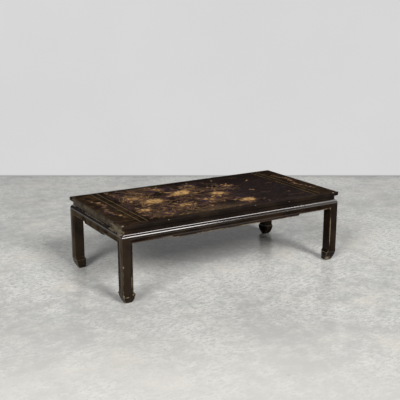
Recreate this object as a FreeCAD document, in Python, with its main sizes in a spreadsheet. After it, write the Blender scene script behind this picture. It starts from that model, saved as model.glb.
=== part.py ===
"""Waisted low table: framed panel top, recessed waist, beaded aprons and four legs with horse-hoof feet.

Millimetres, +Z up, origin on the floor below the middle of the table. +X runs along the length and -Y is the front.
Every piece is a separate solid, and what fits together takes its sizes from the same cells of the sheet.
Sections are drawn in two distances: inwards from the table's outline, and up from the floor.
"""
import FreeCAD, Part
import math
import os

import Sketcher

SIZES = {
    # Whole table
    "table_length": 1220,
    "table_width": 612,
    "table_height": 368,
    "joint_clearance": 0.2,
    "overrun": 5,
    # Top frame and its lip
    "rail_thickness": 20,
    "rail_width": 62,
    "lip_rounding_width": 5.5,
    "lip_rounding_drop": 7,
    "lip_undercut": 9,
    "lip_underside_drop": 9.5,
    # Mitre tenon of the long rails
    "mitre_tenon_start": 16,
    "mitre_tenon_width": 20,
    "mitre_tenon_thickness": 7,
    "mitre_tenon_lift": 4.5,
    "mitre_tenon_cover": 8,
    # Floating panel
    "board_thickness": 10,
    "board_tongue_thickness": 4,
    "board_tongue_length": 7.5,
    "board_tongue_drop": 4,
    "board_joint_tongue": 5,
    "board_joint_thickness": 3,
    "groove_spare_depth": 0.5,
    # Battens under the panel
    "first_batten_inset": 235,
    "batten_width": 30,
    "batten_height": 16,
    "batten_key_depth": 3,
    "batten_key_flare": 2,
    "batten_tenon_length": 14,
    "batten_tenon_thickness": 6,
    "batten_tenon_width": 20,
    "batten_tenon_lift": 2.5,
    # Waist
    "waist_height": 21,
    "waist_recess": 13,
    "waist_thickness": 12,
    "waist_tongue_inset": 4,
    "waist_tongue_width": 4,
    "waist_tongue_depth": 3,
    # Aprons
    "face_inset": 0.5,
    "shoulder_height": 17.5,
    "apron_end_depth": 43,
    "apron_middle_drop": 8,
    "long_step_inset": 242,
    "short_step_inset": 183,
    "step_width": 16,
    "bead_width": 3.5,
    "bead_relief": 1.5,
    # Legs
    "leg_width": 48.5,
    "hoof_sweep_height": 58,
    "hoof_sweep_inset": 18.5,
    "toe_reach": 10,
    "toe_flare_top": 61,
    "toe_ridge_height": 47,
    "toe_under_inset": 10.5,
    "toe_cheek_radius": 62,
    "toe_corner_radius": 24,
    # Hanging keys on the legs
    "key_root_width": 8,
    "key_flare": 1.5,
    "key_depth": 7,
    "key_top_drop": 7,
    # Tenons on top of the legs
    "leg_tenon_width": 10,
    "leg_tenon_margin": 1,
    "long_tenon_height": 14,
    "short_tenon_height": 10,
    # Nails in the waist
    "nail_shank_diameter": 2.4,
    "nail_length": 10,
    "nail_head_diameter": 5,
    "nail_head_thickness": 0.8,
    "first_nail_inset": 66,
    "nail_spacing": 65,
}
BATTEN_COUNT = 4
NAIL_COUNT = 2

doc = FreeCAD.newDocument("waisted_low_table")
sheet = doc.addObject("Spreadsheet::Sheet", "Sizes")


class Measure:
    """A length or a ratio with the expression that gives it, so what uses it stays bound to the sheet."""

    def __init__(self, value, text):
        self.value = float(value)
        self.text = text

    @staticmethod
    def of(other):
        return other if isinstance(other, Measure) else Measure(other, repr(other))

    def __add__(self, other):
        other = Measure.of(other)
        return Measure(self.value + other.value, f"({self.text} + {other.text})")

    def __radd__(self, other):
        return Measure.of(other) + self

    def __sub__(self, other):
        other = Measure.of(other)
        return Measure(self.value - other.value, f"({self.text} - {other.text})")

    def __rsub__(self, other):
        return Measure.of(other) - self

    def __mul__(self, other):
        other = Measure.of(other)
        return Measure(self.value * other.value, f"({self.text} * {other.text})")

    __rmul__ = __mul__

    def __truediv__(self, other):
        other = Measure.of(other)
        return Measure(self.value / other.value, f"({self.text} / {other.text})")

    def __neg__(self):
        return self * -1


def fill_sheet():
    """Writes the driving sizes to the sheet and returns each as a Measure bound to its cell."""
    measures = {}
    for row, (name, value) in enumerate(SIZES.items(), start=1):
        sheet.set(f"A{row}", name)
        sheet.set(f"B{row}", str(value))
        sheet.setAlias(f"B{row}", name)
        measures[name] = Measure(value, f"Sizes.{name}")
    doc.recompute()
    return measures


S = fill_sheet()

# Heights that several pieces share
TOP = S["table_height"]
RAIL_UNDERSIDE = TOP - S["rail_thickness"]
WAIST_BOTTOM = RAIL_UNDERSIDE - S["waist_height"]
SHOULDER_FOOT = WAIST_BOTTOM - S["shoulder_height"]
APRON_END = WAIST_BOTTOM - S["apron_end_depth"]
APRON_MIDDLE = APRON_END - S["apron_middle_drop"]
BOARD_UNDERSIDE = TOP - S["board_thickness"]
BOARD_TONGUE_TOP = TOP - S["board_tongue_drop"]
BOARD_TONGUE_BOTTOM = BOARD_TONGUE_TOP - S["board_tongue_thickness"]
TENON_BOTTOM = RAIL_UNDERSIDE + S["mitre_tenon_lift"]
BATTEN_TENON_BOTTOM = RAIL_UNDERSIDE + S["batten_tenon_lift"]

# Distances inwards from the outline that several pieces share
FACE = S["face_inset"]
BEAD_FACE = FACE - S["bead_relief"]
WAIST_FACE = S["waist_recess"]
WAIST_BACK = WAIST_FACE + S["waist_thickness"]
WAIST_TONGUE_NEAR = WAIST_FACE + S["waist_tongue_inset"]
WAIST_TONGUE_FAR = WAIST_TONGUE_NEAR + S["waist_tongue_width"]
LEG_INNER = FACE + S["leg_width"]
LEG_MIDDLE = (WAIST_BACK + LEG_INNER) / 2
RAIL_INNER = S["rail_width"]
GROOVE_DEPTH = S["board_tongue_length"] + S["groove_spare_depth"]
CLEARANCE = S["joint_clearance"]
OVERRUN = S["overrun"]


def tangent_radius(across, along):
    """Radius of the arc that leaves a straight line and reaches a point so far across and along it."""
    return (across * across + along * along) / (across * 2)


SHOULDER_RADIUS = tangent_radius(WAIST_FACE - FACE, S["shoulder_height"])
HOOF_RADIUS = tangent_radius(S["hoof_sweep_inset"], S["hoof_sweep_height"])
FLARE_RADIUS = tangent_radius(S["toe_reach"], S["toe_flare_top"] - S["toe_ridge_height"])


def new_body(label, x_place=None, y_place=None):
    """An empty body whose own origin stands on the floor at the given place of the table."""
    body = doc.addObject("PartDesign::Body", label)
    body.Label = label
    if x_place is not None:
        body.setExpression("Placement.Base.x", x_place.text)
    if y_place is not None:
        body.setExpression("Placement.Base.y", y_place.text)
    return body


def arc_between(start, end, radius, side):
    """The short arc of a radius from start to end that bulges to the left (1) or right (-1) of the way there."""
    chord = end - start
    half = chord.Length / 2
    across = FreeCAD.Vector(-chord.y, chord.x, 0).normalize()
    rise = math.sqrt(max(radius * radius - half * half, 0.0))
    centre = (start + end) / 2 - across * (rise * side)
    circle = Part.Circle(centre, FreeCAD.Vector(0, 0, 1), radius)
    first, last = (end, start) if side > 0 else (start, end)
    angles = [math.atan2(point.y - centre.y, point.x - centre.x) for point in (first, last)]
    return Part.ArcOfCircle(circle, angles[0], angles[1])


def fix_coordinate(outline, kind, axis, edge, position, measure):
    """Holds one coordinate of an edge's end at a distance from the sketch's origin."""
    if measure.value == 0:
        outline.addConstraint(Sketcher.Constraint("PointOnObject", edge, position, axis))
        return
    index = outline.addConstraint(Sketcher.Constraint(kind, -1, 1, edge, position, measure.value))
    outline.setExpression(f"Constraints[{index}]", measure.text)


def add_loop(outline, points):
    """Draws one closed loop. A point is (u, v), or (u, v, radius, side) where an arc leads to it."""
    points = [(*map(Measure.of, point[:3]), *point[3:]) for point in points]
    places = [FreeCAD.Vector(point[0].value, point[1].value, 0) for point in points]
    first_edge = outline.GeometryCount
    starts = []
    ends = []
    for number, place in enumerate(places):
        following = (number + 1) % len(points)
        edge = first_edge + number
        if len(points[following]) == 2:
            outline.addGeometry(Part.LineSegment(place, places[following]))
            start_position, end_position = 1, 2
        else:
            radius, side = points[following][2:]
            outline.addGeometry(arc_between(place, places[following], radius.value, side))
            start_position, end_position = (2, 1) if side > 0 else (1, 2)
            index = outline.addConstraint(Sketcher.Constraint("Radius", edge, radius.value))
            outline.setExpression(f"Constraints[{index}]", radius.text)
        starts.append((edge, start_position))
        ends.append((edge, end_position))
    for number, point in enumerate(points):
        outline.addConstraint(Sketcher.Constraint("Coincident", *ends[number - 1], *starts[number]))
        fix_coordinate(outline, "DistanceX", -2, *starts[number], point[0])
        fix_coordinate(outline, "DistanceY", -1, *starts[number], point[1])


def draw(body, plane_role, loops, lift=None):
    """A sketch of closed loops on one of the body's own planes, lifted along that plane's normal."""
    outline = body.newObject("Sketcher::SketchObject", f"{body.Name}_outline")
    plane = next(item for item in body.Origin.OriginFeatures if item.Role == plane_role)
    outline.AttachmentSupport = [(plane, "")]
    outline.MapMode = "FlatFace"
    if lift is not None:
        outline.setExpression("AttachmentOffset.Base.z", lift.text)
    for loop in loops:
        add_loop(outline, loop)
    return outline


def pad(body, outline, length, side="One side", flip=False):
    """Adds the sketch's loops, drawn out along the plane's normal or, flipped, against it."""
    feature = body.newObject("PartDesign::Pad", f"{body.Name}_pad")
    feature.Profile = outline
    feature.SideType = side
    feature.Reversed = flip
    feature.setExpression("Length", length.text)
    outline.Visibility = False
    return feature


def pocket(body, outline, depth=None, flip=False):
    """Cuts the sketch's loops right through or, with a depth, against the plane's normal or, flipped, along it."""
    feature = body.newObject("PartDesign::Pocket", f"{body.Name}_pocket")
    feature.Profile = outline
    if depth is None:
        feature.Type = "ThroughAll"
        feature.SideType = "Symmetric"
    else:
        feature.Reversed = flip
        feature.setExpression("Length", depth.text)
    outline.Visibility = False
    return feature


def rectangle(u_low, v_low, u_high, v_high):
    return [(u_low, v_low), (u_high, v_low), (u_high, v_high), (u_low, v_high)]


def mirrored_in_u(loop):
    """The loop turned over left to right. An arc then bulges to the other side of its way."""
    return [(-Measure.of(point[0]), *point[1:3], *(-side for side in point[3:])) for point in loop]


def swapped(loop):
    """The loop with its two coordinates exchanged. An arc then bulges to the other side of its way."""
    return [(point[1], point[0], *point[2:3], *(-side for side in point[3:])) for point in loop]


def at_both_ends(half_length, loop):
    """A loop drawn in from a piece's end, set at its two ends either side of the middle."""
    left = [(point[0] - half_length, *point[1:]) for point in loop]
    return [left, mirrored_in_u(left)]


class Side:
    """One side of the table. A piece's length runs along it, and its section is drawn across it."""

    def __init__(self, name, opposite, length, runs_along_x):
        self.name = name
        self.opposite = opposite
        self.length = length
        self.half = length / 2
        self.runs_along_x = runs_along_x
        self.section_plane = "YZ_Plane" if runs_along_x else "XZ_Plane"
        self.elevation_plane = "XZ_Plane" if runs_along_x else "YZ_Plane"

    def body(self, kind):
        """A body at the outline of this side, halfway along it."""
        if self.runs_along_x:
            return new_body(f"{kind}_{self.name}", y_place=-S["table_width"] / 2)
        return new_body(f"{kind}_{self.name}", x_place=-S["table_length"] / 2)

    def strip(self, kind, section, end_inset):
        """A body of one section along the side, its ends cut back by the same mitre in plan."""
        body = self.body(kind)
        pad(body, draw(body, self.section_plane, [section]), self.length - end_inset * 2, "Symmetric")
        reach = RAIL_INNER + OVERRUN
        beyond_mitre = [(-OVERRUN, -OVERRUN), (reach, reach), (-OVERRUN, reach)]
        pocket(body, draw(body, "XY_Plane", self.plan(at_both_ends(self.half, beyond_mitre))))
        return body

    def plan(self, loops):
        """Loops drawn along and across the side, turned to the way the side runs."""
        return loops if self.runs_along_x else [swapped(loop) for loop in loops]

    def block(self, body, loops, low, high):
        """Adds wood over loops in plan, between two heights."""
        pad(body, draw(body, "XY_Plane", self.plan(loops), low), high - low)

    def slot(self, body, loops, low, high):
        """Cuts loops in plan, between two heights."""
        pocket(body, draw(body, "XY_Plane", self.plan(loops), high), high - low)

    def relief(self, body, loops, near, far):
        """Adds wood over loops in elevation, between two distances in from the outline."""
        lift = -near if self.runs_along_x else near
        pad(body, draw(body, self.elevation_plane, loops, lift), far - near, flip=self.runs_along_x)


LONG = Side("front", "back", S["table_length"], True)
SHORT = Side("left", "right", S["table_width"], False)
NODES = {}


def keep(label, feature):
    """Names a finished piece and puts it on the list of those that are written."""
    feature.Label = label
    NODES[label] = feature
    return feature


def mirror(label, source, across_length):
    """The same piece at the other end of the table or, otherwise, at its other long side."""
    copy = doc.addObject("Part::Mirroring", label)
    copy.Source = source
    copy.Normal = (1, 0, 0) if across_length else (0, 1, 0)
    return keep(label, copy)


def keep_with_opposite(kind, side, body):
    keep(f"{kind}_{side.name}", body)
    mirror(f"{kind}_{side.opposite}", body, across_length=not side.runs_along_x)


def rail_section():
    """Round lip over an undercut, groove below for the waist and groove inside for the panel."""
    groove_near = WAIST_TONGUE_NEAR - CLEARANCE
    groove_far = WAIST_TONGUE_FAR + CLEARANCE
    groove_top = RAIL_UNDERSIDE + S["waist_tongue_depth"] + S["groove_spare_depth"]
    panel_groove_low = BOARD_TONGUE_BOTTOM - CLEARANCE
    panel_groove_high = BOARD_TONGUE_TOP + CLEARANCE
    lip_radius = tangent_radius(S["lip_rounding_width"], S["lip_rounding_drop"])
    belly_radius = tangent_radius(S["lip_undercut"], S["lip_underside_drop"])
    return [
        (S["lip_undercut"], RAIL_UNDERSIDE, belly_radius, -1),
        (groove_near, RAIL_UNDERSIDE),
        (groove_near, groove_top),
        (groove_far, groove_top),
        (groove_far, RAIL_UNDERSIDE),
        (RAIL_INNER, RAIL_UNDERSIDE),
        (RAIL_INNER, panel_groove_low),
        (RAIL_INNER - GROOVE_DEPTH, panel_groove_low),
        (RAIL_INNER - GROOVE_DEPTH, panel_groove_high),
        (RAIL_INNER, panel_groove_high),
        (RAIL_INNER, TOP),
        (S["lip_rounding_width"], TOP),
        (0, TOP - S["lip_rounding_drop"], lip_radius, -1),
        (0, RAIL_UNDERSIDE + S["lip_underside_drop"]),
    ]


def leg_tenon_loop(clearance):
    """One tenon on top of a leg, from the end of the rail that it enters and from the rail's edge."""
    far = LEG_INNER - S["leg_tenon_margin"]
    near = WAIST_BACK + S["leg_tenon_margin"]
    width = S["leg_tenon_width"]
    return rectangle(far - width - clearance, near - clearance, far + clearance, near + width + clearance)


def batten_places():
    """Middles of the battens along the table, evenly spread between the first and the last."""
    first = S["first_batten_inset"] - LONG.half
    spacing = -first * 2 / (BATTEN_COUNT - 1)
    return [first + spacing * number for number in range(BATTEN_COUNT)]


def make_long_rails():
    """Long rails: mitred, with a tenon past each mitre and mortises for legs and battens."""
    body = LONG.strip("top_rail", rail_section(), Measure.of(0))
    start = S["mitre_tenon_start"]
    end = start + S["mitre_tenon_width"]
    cover = S["mitre_tenon_cover"]
    tenon = [(cover, start), (start, start), (end, end), (cover, end)]
    tenon_top = TENON_BOTTOM + S["mitre_tenon_thickness"]
    LONG.block(body, at_both_ends(LONG.half, tenon), TENON_BOTTOM, tenon_top)
    leg_mortises = at_both_ends(LONG.half, leg_tenon_loop(CLEARANCE))
    LONG.slot(body, leg_mortises, RAIL_UNDERSIDE, RAIL_UNDERSIDE + S["long_tenon_height"] + CLEARANCE)
    half_width = S["batten_tenon_width"] / 2 + CLEARANCE
    depth = S["batten_tenon_length"] + CLEARANCE
    batten_mortises = [
        rectangle(place - half_width, RAIL_INNER - depth, place + half_width, RAIL_INNER)
        for place in batten_places()
    ]
    mortise_top = BATTEN_TENON_BOTTOM + S["batten_tenon_thickness"] + CLEARANCE
    LONG.slot(body, batten_mortises, BATTEN_TENON_BOTTOM - CLEARANCE, mortise_top)
    keep_with_opposite("top_rail", LONG, body)


def make_short_rails():
    """Short rails: mitred, with mortises for the long rails' tenons and for the legs."""
    body = SHORT.strip("top_rail", rail_section(), Measure.of(0))
    start = S["mitre_tenon_start"]
    end = start + S["mitre_tenon_width"]
    near = S["mitre_tenon_cover"] - CLEARANCE
    mortise = rectangle(start - CLEARANCE, near, end + CLEARANCE, end + OVERRUN)
    mortise_top = TENON_BOTTOM + S["mitre_tenon_thickness"] + CLEARANCE
    SHORT.slot(body, at_both_ends(SHORT.half, mortise), TENON_BOTTOM - CLEARANCE, mortise_top)
    leg_mortises = at_both_ends(SHORT.half, leg_tenon_loop(CLEARANCE))
    SHORT.slot(body, leg_mortises, RAIL_UNDERSIDE, RAIL_UNDERSIDE + S["short_tenon_height"] + CLEARANCE)
    keep_with_opposite("top_rail", SHORT, body)


def finish_board(body):
    """Cuts the board's end tongues and the dovetail grooves for the battens."""
    end = RAIL_INNER - S["board_tongue_length"] - OVERRUN
    above = rectangle(end, BOARD_TONGUE_TOP, RAIL_INNER, TOP + OVERRUN)
    below = rectangle(end, BOARD_UNDERSIDE - OVERRUN, RAIL_INNER, BOARD_TONGUE_BOTTOM)
    rebates = at_both_ends(LONG.half, above) + at_both_ends(LONG.half, below)
    pocket(body, draw(body, "XZ_Plane", rebates))
    grooves = []
    for place in batten_places():
        wide = S["batten_width"] / 2 + CLEARANCE
        narrow = wide - S["batten_key_flare"]
        top = BOARD_UNDERSIDE + S["batten_key_depth"] + CLEARANCE
        groove = [
            (place - narrow, BOARD_UNDERSIDE),
            (place + narrow, BOARD_UNDERSIDE),
            (place + wide, top),
            (place - wide, top),
        ]
        grooves.append(groove)
    pocket(body, draw(body, "XZ_Plane", grooves))


def make_boards():
    """Three floating boards, tongued into the frame all round and into each other."""
    width = (S["table_width"] - RAIL_INNER * 2) / 3
    length = S["table_length"] - (RAIL_INNER - S["board_tongue_length"]) * 2
    joint_middle = TOP - S["board_thickness"] / 2 + S["board_joint_thickness"] / 4
    tongue_half = S["board_joint_thickness"] / 2
    groove_half = tongue_half + CLEARANCE
    seam = RAIL_INNER + width
    groove_end = seam - S["board_joint_tongue"] - S["groove_spare_depth"]
    tongue_end = RAIL_INNER - S["board_tongue_length"]
    front_section = [
        (RAIL_INNER, BOARD_UNDERSIDE),
        (seam, BOARD_UNDERSIDE),
        (seam, joint_middle - groove_half),
        (groove_end, joint_middle - groove_half),
        (groove_end, joint_middle + groove_half),
        (seam, joint_middle + groove_half),
        (seam, TOP),
        (RAIL_INNER, TOP),
        (RAIL_INNER, BOARD_TONGUE_TOP),
        (tongue_end, BOARD_TONGUE_TOP),
        (tongue_end, BOARD_TONGUE_BOTTOM),
        (RAIL_INNER, BOARD_TONGUE_BOTTOM),
    ]
    front = LONG.body("top_board")
    pad(front, draw(front, "YZ_Plane", [front_section]), length, "Symmetric")
    finish_board(front)
    keep_with_opposite("top_board", LONG, front)
    edge = width / 2
    tongue = edge + S["board_joint_tongue"]
    middle_section = [
        (-edge, BOARD_UNDERSIDE),
        (edge, BOARD_UNDERSIDE),
        (edge, joint_middle - tongue_half),
        (tongue, joint_middle - tongue_half),
        (tongue, joint_middle + tongue_half),
        (edge, joint_middle + tongue_half),
        (edge, TOP),
        (-edge, TOP),
        (-edge, joint_middle + tongue_half),
        (-tongue, joint_middle + tongue_half),
        (-tongue, joint_middle - tongue_half),
        (-edge, joint_middle - tongue_half),
    ]
    middle = new_body("top_board_middle")
    pad(middle, draw(middle, "YZ_Plane", [middle_section]), length, "Symmetric")
    finish_board(middle)
    keep("top_board_middle", middle)


def make_battens():
    """Battens across the panel: a dovetail key on top and a tenon into the long rail at each end."""
    half_span = S["table_width"] / 2 - RAIL_INNER
    wide = S["batten_width"] / 2
    narrow = wide - S["batten_key_flare"]
    key_top = BOARD_UNDERSIDE + S["batten_key_depth"]
    bottom = BOARD_UNDERSIDE - S["batten_height"]
    section = [
        (-wide, bottom),
        (wide, bottom),
        (wide, BOARD_UNDERSIDE),
        (narrow, BOARD_UNDERSIDE),
        (wide, key_top),
        (-wide, key_top),
        (-narrow, BOARD_UNDERSIDE),
        (-wide, BOARD_UNDERSIDE),
    ]
    half_width = S["batten_tenon_width"] / 2
    far = half_span + S["batten_tenon_length"]
    tenons = [rectangle(-half_width, half_span, half_width, far), rectangle(-half_width, -far, half_width, -half_span)]
    for number, place in enumerate(batten_places(), start=1):
        body = new_body(f"panel_batten_{number}", x_place=place)
        pad(body, draw(body, "XZ_Plane", [section]), half_span * 2, "Symmetric")
        LONG.block(body, tenons, BATTEN_TENON_BOTTOM, BATTEN_TENON_BOTTOM + S["batten_tenon_thickness"])
        keep(f"panel_batten_{number}", body)


def waist_section():
    """A plain strip with a tongue up into the rail and another down into the apron."""
    return [
        (WAIST_FACE, WAIST_BOTTOM),
        (WAIST_TONGUE_NEAR, WAIST_BOTTOM),
        (WAIST_TONGUE_NEAR, WAIST_BOTTOM - S["waist_tongue_depth"]),
        (WAIST_TONGUE_FAR, WAIST_BOTTOM - S["waist_tongue_depth"]),
        (WAIST_TONGUE_FAR, WAIST_BOTTOM),
        (WAIST_BACK, WAIST_BOTTOM),
        (WAIST_BACK, RAIL_UNDERSIDE),
        (WAIST_TONGUE_FAR, RAIL_UNDERSIDE),
        (WAIST_TONGUE_FAR, RAIL_UNDERSIDE + S["waist_tongue_depth"]),
        (WAIST_TONGUE_NEAR, RAIL_UNDERSIDE + S["waist_tongue_depth"]),
        (WAIST_TONGUE_NEAR, RAIL_UNDERSIDE),
        (WAIST_FACE, RAIL_UNDERSIDE),
    ]


def nail_places():
    """How far each nail is from the middle of the left side, and its height."""
    front = -SHORT.half + S["first_nail_inset"]
    height = WAIST_BOTTOM + S["waist_height"] / 2
    return [(front + S["nail_spacing"] * number, height) for number in range(NAIL_COUNT)]


def cylinder(name, radius, length, outline_inset, along, height):
    """A round bar that points inwards from the left side."""
    bar = doc.addObject("Part::Cylinder", name)
    bar.Placement = FreeCAD.Placement(FreeCAD.Vector(), FreeCAD.Rotation(FreeCAD.Vector(0, 1, 0), 90))
    bar.setExpression("Radius", radius.text)
    bar.setExpression("Height", length.text)
    bar.setExpression("Placement.Base.x", (outline_inset - S["table_length"] / 2).text)
    bar.setExpression("Placement.Base.y", along.text)
    bar.setExpression("Placement.Base.z", height.text)
    return bar


def make_waist():
    """Waist strips. The left one holds two old nails near the front corner."""
    long_strip = LONG.strip("waist", waist_section(), WAIST_FACE)
    keep_with_opposite("waist", LONG, long_strip)
    plain = SHORT.strip("plain_waist", waist_section(), WAIST_FACE)
    mirror("waist_right", plain, across_length=True)
    radius = S["nail_shank_diameter"] / 2
    holes = []
    nails = []
    for number, (along, height) in enumerate(nail_places(), start=1):
        hole_depth = S["nail_length"] + CLEARANCE
        hole = cylinder(f"nail_hole_{number}", radius + CLEARANCE / 2, hole_depth, WAIST_FACE, along, height)
        holes.append(hole)
        shank = cylinder(f"nail_shank_{number}", radius, S["nail_length"], WAIST_FACE, along, height)
        head_inset = WAIST_FACE - S["nail_head_thickness"]
        head_radius = S["nail_head_diameter"] / 2
        head = cylinder(f"nail_head_{number}", head_radius, S["nail_head_thickness"], head_inset, along, height)
        nail = doc.addObject("Part::MultiFuse", f"nail_{number}")
        nail.Shapes = [shank, head]
        nails.append(nail)
    all_holes = doc.addObject("Part::Compound", "nail_holes")
    all_holes.Links = holes
    nailed = doc.addObject("Part::Cut", "waist_left")
    nailed.Base = plain
    nailed.Tool = all_holes
    keep("waist_left", nailed)
    group = doc.addObject("Part::Compound", "waist_nails")
    group.Links = nails
    keep("waist_nails", group)


def apron_lower_edge(side, step_inset):
    """Points along the apron's lower edge from its left mitre to its right one, with a round step down."""
    half_step = S["step_width"] / 2
    half_drop = S["apron_middle_drop"] / 2
    radius = tangent_radius(half_drop, half_step)
    start = step_inset - side.half
    halfway = start + half_step
    end = halfway + half_step
    half_height = APRON_END - half_drop
    left = [
        (LEG_INNER - side.half, APRON_END),
        (start, APRON_END),
        (halfway, half_height, radius, 1),
        (end, APRON_MIDDLE, radius, -1),
    ]
    right = [
        (-end, APRON_MIDDLE),
        (-halfway, half_height, radius, -1),
        (-start, APRON_END, radius, 1),
        (side.half - LEG_INNER, APRON_END),
    ]
    return left + right


def apron_bead_top(side, step_inset):
    """Points along the bead's upper edge from right to left, a bead's width inside the lower edge."""
    width = S["bead_width"]
    half_step = S["step_width"] / 2
    half_drop = S["apron_middle_drop"] / 2
    radius = tangent_radius(half_drop, half_step)
    start = step_inset - side.half
    bend = start + half_step + width * half_step / radius
    bend_height = APRON_END - half_drop + width * (radius - half_drop) / radius
    end = start + half_step * 2
    end_inset = LEG_INNER - width
    return [
        (side.half - end_inset, APRON_END + width),
        (-start, APRON_END + width),
        (-bend, bend_height, radius + width, -1),
        (-end, APRON_MIDDLE + width, radius - width, 1),
        (end, APRON_MIDDLE + width),
        (bend, bend_height, radius - width, 1),
        (start, APRON_END + width, radius + width, -1),
        (end_inset - side.half, APRON_END + width),
    ]


def key_loop(clearance):
    """A hanging dovetail key in plan, from the side's end and from its outline."""
    root = S["key_root_width"] / 2 + clearance
    outer = root + S["key_flare"]
    tip = WAIST_BACK - S["key_depth"] - clearance
    return [
        (LEG_MIDDLE - root, WAIST_BACK),
        (LEG_MIDDLE - outer, tip),
        (LEG_MIDDLE + outer, tip),
        (LEG_MIDDLE + root, WAIST_BACK),
    ]


KEY_TOP = WAIST_BOTTOM - S["key_top_drop"]


def make_apron(side, step_inset):
    """Apron: convex shoulder, stepped lower edge with a bead, and ends that hang mitred on the legs."""
    groove_near = WAIST_TONGUE_NEAR - CLEARANCE
    groove_far = WAIST_TONGUE_FAR + CLEARANCE
    groove_bottom = WAIST_BOTTOM - S["waist_tongue_depth"] - S["groove_spare_depth"]
    section = [
        (FACE, APRON_MIDDLE),
        (WAIST_BACK, APRON_MIDDLE),
        (WAIST_BACK, WAIST_BOTTOM),
        (groove_far, WAIST_BOTTOM),
        (groove_far, groove_bottom),
        (groove_near, groove_bottom),
        (groove_near, WAIST_BOTTOM),
        (WAIST_FACE, WAIST_BOTTOM),
        (FACE, SHOULDER_FOOT, SHOULDER_RADIUS, -1),
    ]
    body = side.strip("apron", section, FACE)
    lower_edge = apron_lower_edge(side, step_inset)
    beyond = side.half + OVERRUN
    mitre_top = APRON_END + LEG_INNER + OVERRUN
    floor_side = APRON_MIDDLE - OVERRUN
    waste = [(-beyond, mitre_top), *lower_edge, (beyond, mitre_top), (beyond, floor_side), (-beyond, floor_side)]
    pocket(body, draw(body, side.elevation_plane, [waste]))
    side.relief(body, [lower_edge + apron_bead_top(side, step_inset)], BEAD_FACE, FACE)
    keyways = at_both_ends(side.half, key_loop(CLEARANCE))
    side.slot(body, keyways, APRON_END, KEY_TOP + CLEARANCE)
    keep_with_opposite("apron", side, body)


def leg_profile():
    """The leg seen square on: hoof, straight face, convex shoulder and the neck behind the waist."""
    ridge = LEG_INNER + S["toe_reach"]
    return [
        (FACE + S["hoof_sweep_inset"], 0, HOOF_RADIUS, -1),
        (ridge - S["toe_under_inset"], 0),
        (ridge, S["toe_ridge_height"], S["toe_cheek_radius"], -1),
        (LEG_INNER, S["toe_flare_top"], FLARE_RADIUS, 1),
        (LEG_INNER, RAIL_UNDERSIDE),
        (WAIST_BACK, RAIL_UNDERSIDE),
        (WAIST_BACK, WAIST_BOTTOM),
        (WAIST_FACE, WAIST_BOTTOM),
        (FACE, SHOULDER_FOOT, SHOULDER_RADIUS, -1),
        (FACE, S["hoof_sweep_height"]),
    ]


def leg_bead_band():
    """The bead along the leg's inner edge, seen square on, from the apron's mitre to the toe's ridge."""
    width = S["bead_width"]
    ridge = LEG_INNER + S["toe_reach"]
    centre = LEG_INNER + FLARE_RADIUS
    share = width / FLARE_RADIUS
    return [
        (LEG_INNER - width, APRON_END + width),
        (LEG_INNER - width, S["toe_flare_top"]),
        (ridge + (ridge - centre) * share,
         S["toe_ridge_height"] + (S["toe_ridge_height"] - S["toe_flare_top"]) * share, FLARE_RADIUS + width, -1),
        (ridge, S["toe_ridge_height"]),
        (LEG_INNER, S["toe_flare_top"], FLARE_RADIUS, 1),
        (LEG_INNER, APRON_END),
    ]


def bead_depth_profile():
    """The leg seen from the side, as far out as the bead stands."""
    return [
        (BEAD_FACE + S["hoof_sweep_inset"], 0, HOOF_RADIUS, -1),
        (WAIST_BACK, 0),
        (WAIST_BACK, SHOULDER_FOOT),
        (BEAD_FACE, SHOULDER_FOOT),
        (BEAD_FACE, S["hoof_sweep_height"]),
    ]


def corner_body(label):
    return new_body(label, -S["table_length"] / 2, -S["table_width"] / 2)


def beyond_toe_corner():
    """What is cut off in plan to round the hoof's inner corner, where its two toes meet."""
    radius = S["toe_corner_radius"]
    ridge = LEG_INNER + S["toe_reach"]
    beyond = ridge + OVERRUN
    return [
        (ridge - radius, beyond),
        (ridge - radius, ridge),
        (ridge, ridge - radius, radius, 1),
        (beyond, ridge - radius),
        (beyond, beyond),
    ]


def make_leg_core(reach):
    """Leg without its beads: the profile cut both ways, seats and keys for the aprons, tenons on top."""
    body = corner_body("leg_core")
    pad(body, draw(body, "XZ_Plane", [leg_profile()]), reach, flip=True)
    around = rectangle(-OVERRUN, -OVERRUN, reach + OVERRUN, RAIL_UNDERSIDE + OVERRUN)
    pocket(body, draw(body, "YZ_Plane", [around, leg_profile()]))
    LONG.slot(body, [beyond_toe_corner()], Measure.of(0), S["toe_flare_top"])
    seat = [
        (-OVERRUN, APRON_END + LEG_INNER + OVERRUN),
        (LEG_INNER + OVERRUN, APRON_END - OVERRUN),
        (LEG_INNER + OVERRUN, RAIL_UNDERSIDE + OVERRUN),
        (-OVERRUN, RAIL_UNDERSIDE + OVERRUN),
    ]
    pocket(body, draw(body, "XZ_Plane", [seat]), WAIST_BACK)
    pocket(body, draw(body, "YZ_Plane", [seat]), WAIST_BACK, flip=True)
    LONG.block(body, [key_loop(Measure.of(0))], APRON_END, KEY_TOP)
    SHORT.block(body, [key_loop(Measure.of(0))], APRON_END, KEY_TOP)
    tenon = leg_tenon_loop(Measure.of(0))
    LONG.block(body, [tenon], RAIL_UNDERSIDE, RAIL_UNDERSIDE + S["long_tenon_height"])
    SHORT.block(body, [tenon], RAIL_UNDERSIDE, RAIL_UNDERSIDE + S["short_tenon_height"])
    return body


def make_leg_bead(name, band_plane, depth_plane, reach):
    """One raised bead: its outline drawn on one face, its curve down the hoof on the other."""
    band = corner_body(f"{name}_band")
    pad(band, draw(band, band_plane, [leg_bead_band()]), WAIST_BACK, flip=band_plane == "XZ_Plane")
    depth = corner_body(f"{name}_depth")
    pad(depth, draw(depth, depth_plane, [bead_depth_profile()]), reach, flip=depth_plane == "XZ_Plane")
    bead = doc.addObject("Part::MultiCommon", name)
    bead.Shapes = [band, depth]
    return bead


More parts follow.
